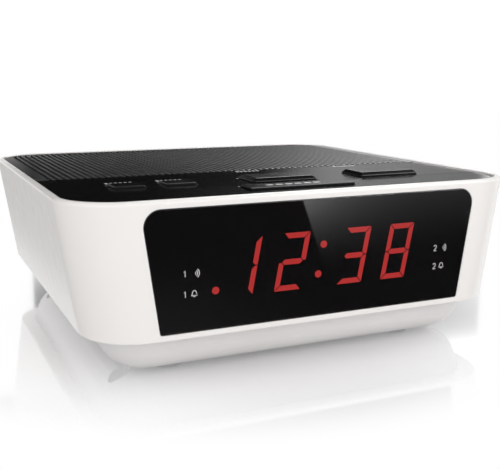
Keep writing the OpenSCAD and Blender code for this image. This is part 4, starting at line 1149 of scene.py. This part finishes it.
class AddMarks(bpy.types.Operator):
    """Adds the printed marks: two rows of plain signs beside the digits, and plain dashes at the
    keys"""
    bl_idname = "clock_radio.add_marks"
    bl_label = "Marks"

    def execute(self, context):
        sleeve, deck, m = sleeve_of(context), Deck(context), MARK_SIZES
        tone = context.scene.clock_radio.colours.printed
        ink = Finish("print", tone, 0.5)
        ink.tint(ink.noise(700, 2), shade(tone, 0.85), tone)
        signs = []
        for number, x in ((1, m["left"]), (2, m["right"])):
            for sign, z in ((WAVES, m["waves_z"]), (BELL, m["bell_z"])):
                for path in (moved(NUMBERS[number], x, z, m["sign"])
                             + moved(sign, x + m["beside"], z, m["sign"])):
                    points, groups = stroke(path, m["line"])
                    signs.append((sleeve.front(points * [1, 1, -1]), groups))
        make_piece("window_marks", signs, ink.material, "case")
        plates = []
        for node, y in (("source_key", corners("source_key")[1][1] + m["behind_key"]),
                        ("set_key", corners("set_key")[1][1] + m["behind_key"]),
                        ("tuning_rocker", deck.sizes.rib_front - m["before_ribs"]),
                        ("volume_rocker", deck.sizes.rib_front - m["before_ribs"])):
            for at in middle(node)[0] + m["row"] * np.linspace(-0.5, 0.5, DASHES):
                plates.append(self.dash(at, y, deck.height(y), m["dash"], m["depth"]))
        make_piece("deck_marks", plates, ink.material, "case")
        y, z = middle("snooze_bar")[1], corners("snooze_bar")[1][2]
        snooze = [self.dash(at, y, z, m["snooze_dash"], m["snooze_depth"])
                  for at in np.linspace(m["snooze_start"], m["snooze_end"], DASHES)]
        make_piece("snooze_marks", snooze, ink.material, "snooze_bar")
        return {"FINISHED"}

    def dash(self, x, y, z, wide, depth):
        """One dash, centred at a place on a level face."""
        points, groups = stroke([(x - wide / 2, y), (x + wide / 2, y)], depth)
        return points + [0, 0, z], groups


class FinishInside(bpy.types.Operator):
    """Gives every piece that keeps its own shape its finish, and rounds off its shading"""
    bl_idname = "clock_radio.finish_inside"
    bl_label = "Base and inner parts"

    def execute(self, context):
        smooth = self.soft_shading()
        hidden = {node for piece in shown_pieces() for node in piece.get("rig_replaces", [])}
        for node, piece in frame["nodes"].items():
            if node in hidden:
                continue
            piece.data.materials.clear()
            piece.data.materials.append(finish_of(SLOT_OF[node], context))
            piece.modifiers.new("soft_shading", "NODES").node_group = smooth
        return {"FINISHED"}

    def soft_shading(self):
        """Nodes that join coinciding points and shade smooth all edges but the sharp ones."""
        same_place, sharp_above = 1e-6, math.radians(28)
        group = bpy.data.node_groups.new("soft_shading", "GeometryNodeTree")
        group.interface.new_socket("Geometry", in_out="INPUT", socket_type="NodeSocketGeometry")
        group.interface.new_socket("Geometry", in_out="OUTPUT", socket_type="NodeSocketGeometry")
        kinds = ("NodeGroupInput", "GeometryNodeMergeByDistance", "GeometryNodeSetShadeSmooth",
                 "GeometryNodeSetShadeSmooth", "NodeGroupOutput")
        chain = [group.nodes.new(kind) for kind in kinds]
        for a, b in zip(chain, chain[1:]):
            group.links.new(a.outputs["Geometry"], b.inputs["Geometry"])
        chain[1].inputs["Distance"].default_value = same_place
        angle = group.nodes.new("GeometryNodeInputMeshEdgeAngle")
        sharp = group.nodes.new("FunctionNodeCompare")
        sharp.operation = "GREATER_THAN"
        sharp.inputs["B"].default_value = sharp_above
        group.links.new(angle.outputs["Unsigned Angle"], sharp.inputs["A"])
        chain[3].domain = "EDGE"
        chain[3].inputs["Shade Smooth"].default_value = False
        group.links.new(sharp.outputs["Result"], chain[3].inputs["Selection"])
        return group


# ---------- stage ----------

LAMP_AIM = (0, 0, 0.03)         # the point that the lamps face
LAMPS = {                       # each one's place and the length of its sides
    "key": ((0.35, -0.95, 0.45), 0.9),
    "fill": ((-0.55, -0.85, 0.4), 0.9),
    "top": ((0.0, 0.1, 1.0), 1.2),
}
BACK_Y = 0.6                    # place of the card behind the object
CARD_LIFT = 0.0005              # height of the cards that lie on the floor
EVEN_CARDS = {                  # each one's level, and its corners in an order that faces the object
    "top_card": (0.02, [(-0.5, BACK_Y, 1.2), (0.9, BACK_Y, 1.2), (0.9, -0.3, 1.2), (-0.5, -0.3, 1.2)]),
    "side_card": (0.4, [(-1.2, -0.2, CARD_LIFT), (-0.074, -0.2, CARD_LIFT),
                        (-0.074, 1.2, CARD_LIFT), (-1.2, 1.2, CARD_LIFT)]),
    "left_card": (0.02, [(-0.8, BACK_Y, 0.3), (0.025, BACK_Y, 0.3), (0.025, BACK_Y, 1.2),
                         (-0.8, BACK_Y, 1.2)]),
    "near_card": (0.02, [(-0.3, 0.09, 0.058), (-0.05, 0.09, 0.058), (-0.05, 0.09, 0.4),
                         (-0.3, 0.09, 0.4)]),
    "glint_card": (12.0, [(0.60, -0.32, 0.45), (0.37, -0.60, 0.45), (0.30, -0.50, 0.70),
                          (0.52, -0.22, 0.70)]),
}
FLOOR_HALF = 1.6                # half the floor's side
FLOOR_WHITE = (0.93, 0.93, 0.93, 1)
FLOOR_ROUGH = 0.08              # roughness of its mirror image
SHADOW_FADE = (0.045, 0.080)    # distances from the middle over which the soft shadow fades
SHADOW_SHARE = 0.40
GLOSS_FADE = (0.060, 0.112)     # and the mirror image


class AddStage(bpy.types.Operator):
    """Adds the pale floor with its faint mirror image, soft lamps and reflector cards"""
    bl_idname = "clock_radio.add_stage"
    bl_label = "Stage"

    def execute(self, context):
        look = context.scene.clock_radio.stage
        context.scene.view_settings.view_transform = "Standard"
        self.world(context, look)
        self.floor(context, look)
        for name, (place, wide) in LAMPS.items():
            self.lamp(name + "_lamp", place, wide, getattr(look, name + "_power"))
        self.back_card()
        for name, (level, points) in EVEN_CARDS.items():
            material = self.card_material(name)
            self.glow(material, level)
            self.card(name, points, material)
        self.front_card()
        return {"FINISHED"}

    def seen(self, nodes, links):
        """1 for a ray from the camera, off a gloss or through glass, else 0."""
        path = nodes.new("ShaderNodeLightPath")
        most = path.outputs["Is Camera Ray"]
        for name in ("Is Glossy Ray", "Is Transmission Ray"):
            made = nodes.new("ShaderNodeMath")
            made.operation = "MAXIMUM"
            links.new(most, made.inputs[0])
            links.new(path.outputs[name], made.inputs[1])
            most = made.outputs[0]
        return most

    def world(self, context, look):
        """White where it is seen, and a softer light on everything else."""
        world = bpy.data.worlds.new("studio")
        world.use_nodes = True
        context.scene.world = world
        nodes, links = world.node_tree.nodes, world.node_tree.links
        strength = nodes.new("ShaderNodeMapRange")
        strength.inputs["To Min"].default_value = look.ambient
        strength.inputs["To Max"].default_value = 1.0
        links.new(self.seen(nodes, links), strength.inputs["Value"])
        background = nodes["Background"]
        background.inputs["Color"].default_value = (1, 1, 1, 1)
        links.new(strength.outputs["Result"], background.inputs["Strength"])

    def flat(self, name, points, material):
        """A flat stage piece from its corners."""
        mesh = bpy.data.meshes.new(name)
        mesh.from_pydata(points, [], [tuple(range(len(points)))])
        mesh.materials.append(material)
        piece = bpy.data.objects.new(name, mesh)
        bpy.context.scene.collection.objects.link(piece)
        piece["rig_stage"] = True
        return piece

    def floor(self, context, look):
        """A white floor. Near the object it takes the soft shadow and a faint mirror image, and
        both fade with the distance into plain white."""
        material = bpy.data.materials.new("floor")
        material.use_nodes = True
        nodes, links = material.node_tree.nodes, material.node_tree.links
        nodes.remove(nodes["Principled BSDF"])
        place = nodes.new("ShaderNodeNewGeometry").outputs["Position"]
        distance = nodes.new("ShaderNodeVectorMath")
        distance.operation = "LENGTH"
        links.new(place, distance.inputs[0])

        def fade(near, far, value):
            """A value that holds up to near and falls to 0 at far."""
            made = nodes.new("ShaderNodeMapRange")
            made.interpolation_type = "SMOOTHSTEP"
            made.inputs["From Min"].default_value = near
            made.inputs["From Max"].default_value = far
            made.inputs["To Min"].default_value = value
            made.inputs["To Max"].default_value = 0.0
            links.new(distance.outputs["Value"], made.inputs["Value"])
            return made.outputs["Result"]

        white = nodes.new("ShaderNodeEmission")
        shadow = nodes.new("ShaderNodeBsdfDiffuse")
        shadow.inputs["Color"].default_value = FLOOR_WHITE
        gloss = nodes.new("ShaderNodeBsdfGlossy")
        gloss.inputs["Color"].default_value = (1, 1, 1, 1)
        gloss.inputs["Roughness"].default_value = FLOOR_ROUGH
        shaded, mirrored, chosen = (nodes.new("ShaderNodeMixShader") for _ in range(3))
        links.new(fade(*SHADOW_FADE, SHADOW_SHARE), shaded.inputs[0])
        links.new(white.outputs[0], shaded.inputs[1])
        links.new(shadow.outputs[0], shaded.inputs[2])
        links.new(fade(*GLOSS_FADE, look.gloss), mirrored.inputs[0])
        links.new(shaded.outputs[0], mirrored.inputs[1])
        links.new(gloss.outputs[0], mirrored.inputs[2])
        links.new(self.seen(nodes, links), chosen.inputs[0])
        links.new(shadow.outputs[0], chosen.inputs[1])
        links.new(mirrored.outputs[0], chosen.inputs[2])
        links.new(chosen.outputs[0], nodes["Material Output"].inputs["Surface"])
        corner = [(-1, -1, 0), (1, -1, 0), (1, 1, 0), (-1, 1, 0)]
        self.flat("floor", [Vector(point) * FLOOR_HALF for point in corner], material)

    def lamp(self, name, place, wide, power):
        """A soft square lamp that points at the object."""
        data = bpy.data.lights.new(name, "AREA")
        data.shape = "SQUARE"
        data.size = wide
        data.energy = power
        lamp = bpy.data.objects.new(name, data)
        lamp.location = place
        sight = Vector(LAMP_AIM) - Vector(place)
        lamp.rotation_euler = sight.to_track_quat("-Z", "Y").to_euler()
        lamp.visible_glossy = False
        lamp.visible_camera = False
        bpy.context.scene.collection.objects.link(lamp)

    def back_card(self):
        """A card behind the object. Its lower part is dark at the left and grey at the right,
        which falls off again further out. Its upper part is bright but for its left end."""
        dark, grey, bright, least = 0.006, 0.38, 5.6, 0.05
        left, right, foot, top = 0.025, 0.62, 0.02, 1.2
        material, x, _, z, step = self.card_nodes("back_card")
        low = step("MULTIPLY", self.smooth(material, x, 0.285, 0.39),
                   self.smooth(material, x, 1.1, 0.4, "LINEAR"))
        high = step("MULTIPLY_ADD", self.smooth(material, x, 0.15, 0.36), bright, least)
        upper = step("MULTIPLY", high, self.smooth(material, z, 0.26, 0.36))
        both = step("ADD", step("MULTIPLY", low, grey), upper)
        self.glow(material, step("ADD", both, dark))
        self.card("back_card", [(left, BACK_Y, foot), (right, BACK_Y, foot), (right, BACK_Y, top),
                                (left, BACK_Y, top)], material)

    def front_card(self):
        """A dark card on the floor in front. A bright edge slants across it. Past the edge the
        light falls off as least + (1 - least) e^(-distance / reach) and with the square of the
        way towards the object. The corner nearest the object's left foot is a little lighter."""
        slant, cross, reach, least = -0.454, -0.0196, 0.028, 0.12
        dark, bright, corner_light = 0.03, 2.8, 0.13
        left, right, front, back = -0.2, 0.45, -0.6, -0.068
        material, x, y, _, step = self.card_nodes("front_card")
        past = step("SUBTRACT", x, step("MULTIPLY_ADD", y, slant, cross))
        edge = self.smooth(material, past, -0.0005, 0.001)
        near = step("POWER", math.e, step("MULTIPLY", past, -1 / reach))
        across = step("MULTIPLY_ADD", near, 1 - least, least)
        away = step("POWER", self.smooth(material, y, -0.145, -0.285, "LINEAR"), 2.0)
        shine = step("MULTIPLY", step("MULTIPLY", edge, across), step("MULTIPLY", away, bright))
        corner = step("MULTIPLY", self.smooth(material, y, -0.2, -0.1),
                      self.smooth(material, x, 0.03, -0.04))
        self.glow(material, step("ADD", shine, step("MULTIPLY_ADD", corner, corner_light, dark)))
        self.card("front_card", [(left, front, CARD_LIFT), (right, front, CARD_LIFT),
                                 (right, back, CARD_LIFT), (left, back, CARD_LIFT)], material)

    def card_material(self, name):
        """A new card's material, with no shader yet."""
        material = bpy.data.materials.new(name)
        material.use_nodes = True
        nodes = material.node_tree.nodes
        nodes.remove(nodes["Principled BSDF"])
        return material

    def card_nodes(self, name):
        """A new card's material, the place along X, Y and Z, and a short way to calculate."""
        material = self.card_material(name)
        nodes, links = material.node_tree.nodes, material.node_tree.links
        place = nodes.new("ShaderNodeSeparateXYZ")
        links.new(nodes.new("ShaderNodeNewGeometry").outputs["Position"], place.inputs[0])

        def step(operation, *values):
            """One Math node on numbers or other nodes' results."""
            made = nodes.new("ShaderNodeMath")
            made.operation = operation
            for socket, value in zip(made.inputs, values):
                if isinstance(value, bpy.types.NodeSocket):
                    links.new(value, socket)
                else:
                    socket.default_value = value
            return made.outputs[0]

        return material, *place.outputs, step

    def smooth(self, material, value, start, end, kind="SMOOTHSTEP"):
        """A value that is 0 up to start and 1 past end, which may lie on either side."""
        made = material.node_tree.nodes.new("ShaderNodeMapRange")
        made.interpolation_type = kind
        low, high, turned = (start, end, False) if start < end else (end, start, True)
        made.inputs["From Min"].default_value, made.inputs["From Max"].default_value = low, high
        made.inputs["To Min"].default_value = 1.0 if turned else 0.0
        made.inputs["To Max"].default_value = 0.0 if turned else 1.0
        material.node_tree.links.new(value, made.inputs["Value"])
        return made.outputs["Result"]

    def glow(self, material, level):
        """The card shines with a level, a number or a node's result, on its face, and its back
        lets everything through."""
        nodes, links = material.node_tree.nodes, material.node_tree.links
        shine, clear, face = (nodes.new("ShaderNode" + kind) for kind in
                              ("Emission", "BsdfTransparent", "MixShader"))
        if isinstance(level, bpy.types.NodeSocket):
            links.new(level, shine.inputs["Strength"])
        else:
            shine.inputs["Strength"].default_value = level
        links.new(nodes.new("ShaderNodeNewGeometry").outputs["Backfacing"], face.inputs[0])
        links.new(shine.outputs[0], face.inputs[1])
        links.new(clear.outputs[0], face.inputs[2])
        links.new(face.outputs[0], nodes["Material Output"].inputs["Surface"])

    def card(self, name, points, material):
        """A card that only glossy rays see, and that casts no shadow."""
        card = self.flat(name, points, material)
        for ray in ("camera", "diffuse", "transmission", "volume_scatter", "shadow"):
            setattr(card, "visible_" + ray, False)


# ---------- panel and registration ----------

STEPS = (AddCamera, AddSleeve, AddDeck, AddKeys, AddWindow, AddMarks, FinishInside, AddStage)
GROUPS = (CaseSizes, WindowSizes, DeckSizes, KeySizes, Colours, StageLook, ClockRadio)


class ClockRadioPanel(bpy.types.Panel):
    """Lists the steps that build the clock radio"""
    bl_idname = "VIEW3D_PT_clock_radio"
    bl_label = "Clock radio"
    bl_space_type = "VIEW_3D"
    bl_region_type = "UI"
    bl_category = "Clock radio"

    def draw(self, context):
        for step in STEPS:
            self.layout.operator(step.bl_idname)


def register():
    for kind in (*GROUPS, *STEPS, ClockRadioPanel):
        bpy.utils.register_class(kind)
    bpy.types.Scene.clock_radio = PointerProperty(type=ClockRadio)


def unregister():
    del bpy.types.Scene.clock_radio
    for kind in reversed((*GROUPS, *STEPS, ClockRadioPanel)):
        bpy.utils.unregister_class(kind)


def main():
    """Builds everything in order."""
    register()
    for step in STEPS:
        group, name = step.bl_idname.split(".")
        getattr(getattr(bpy.ops, group), name)()


if __name__ == "__main__":
    main()
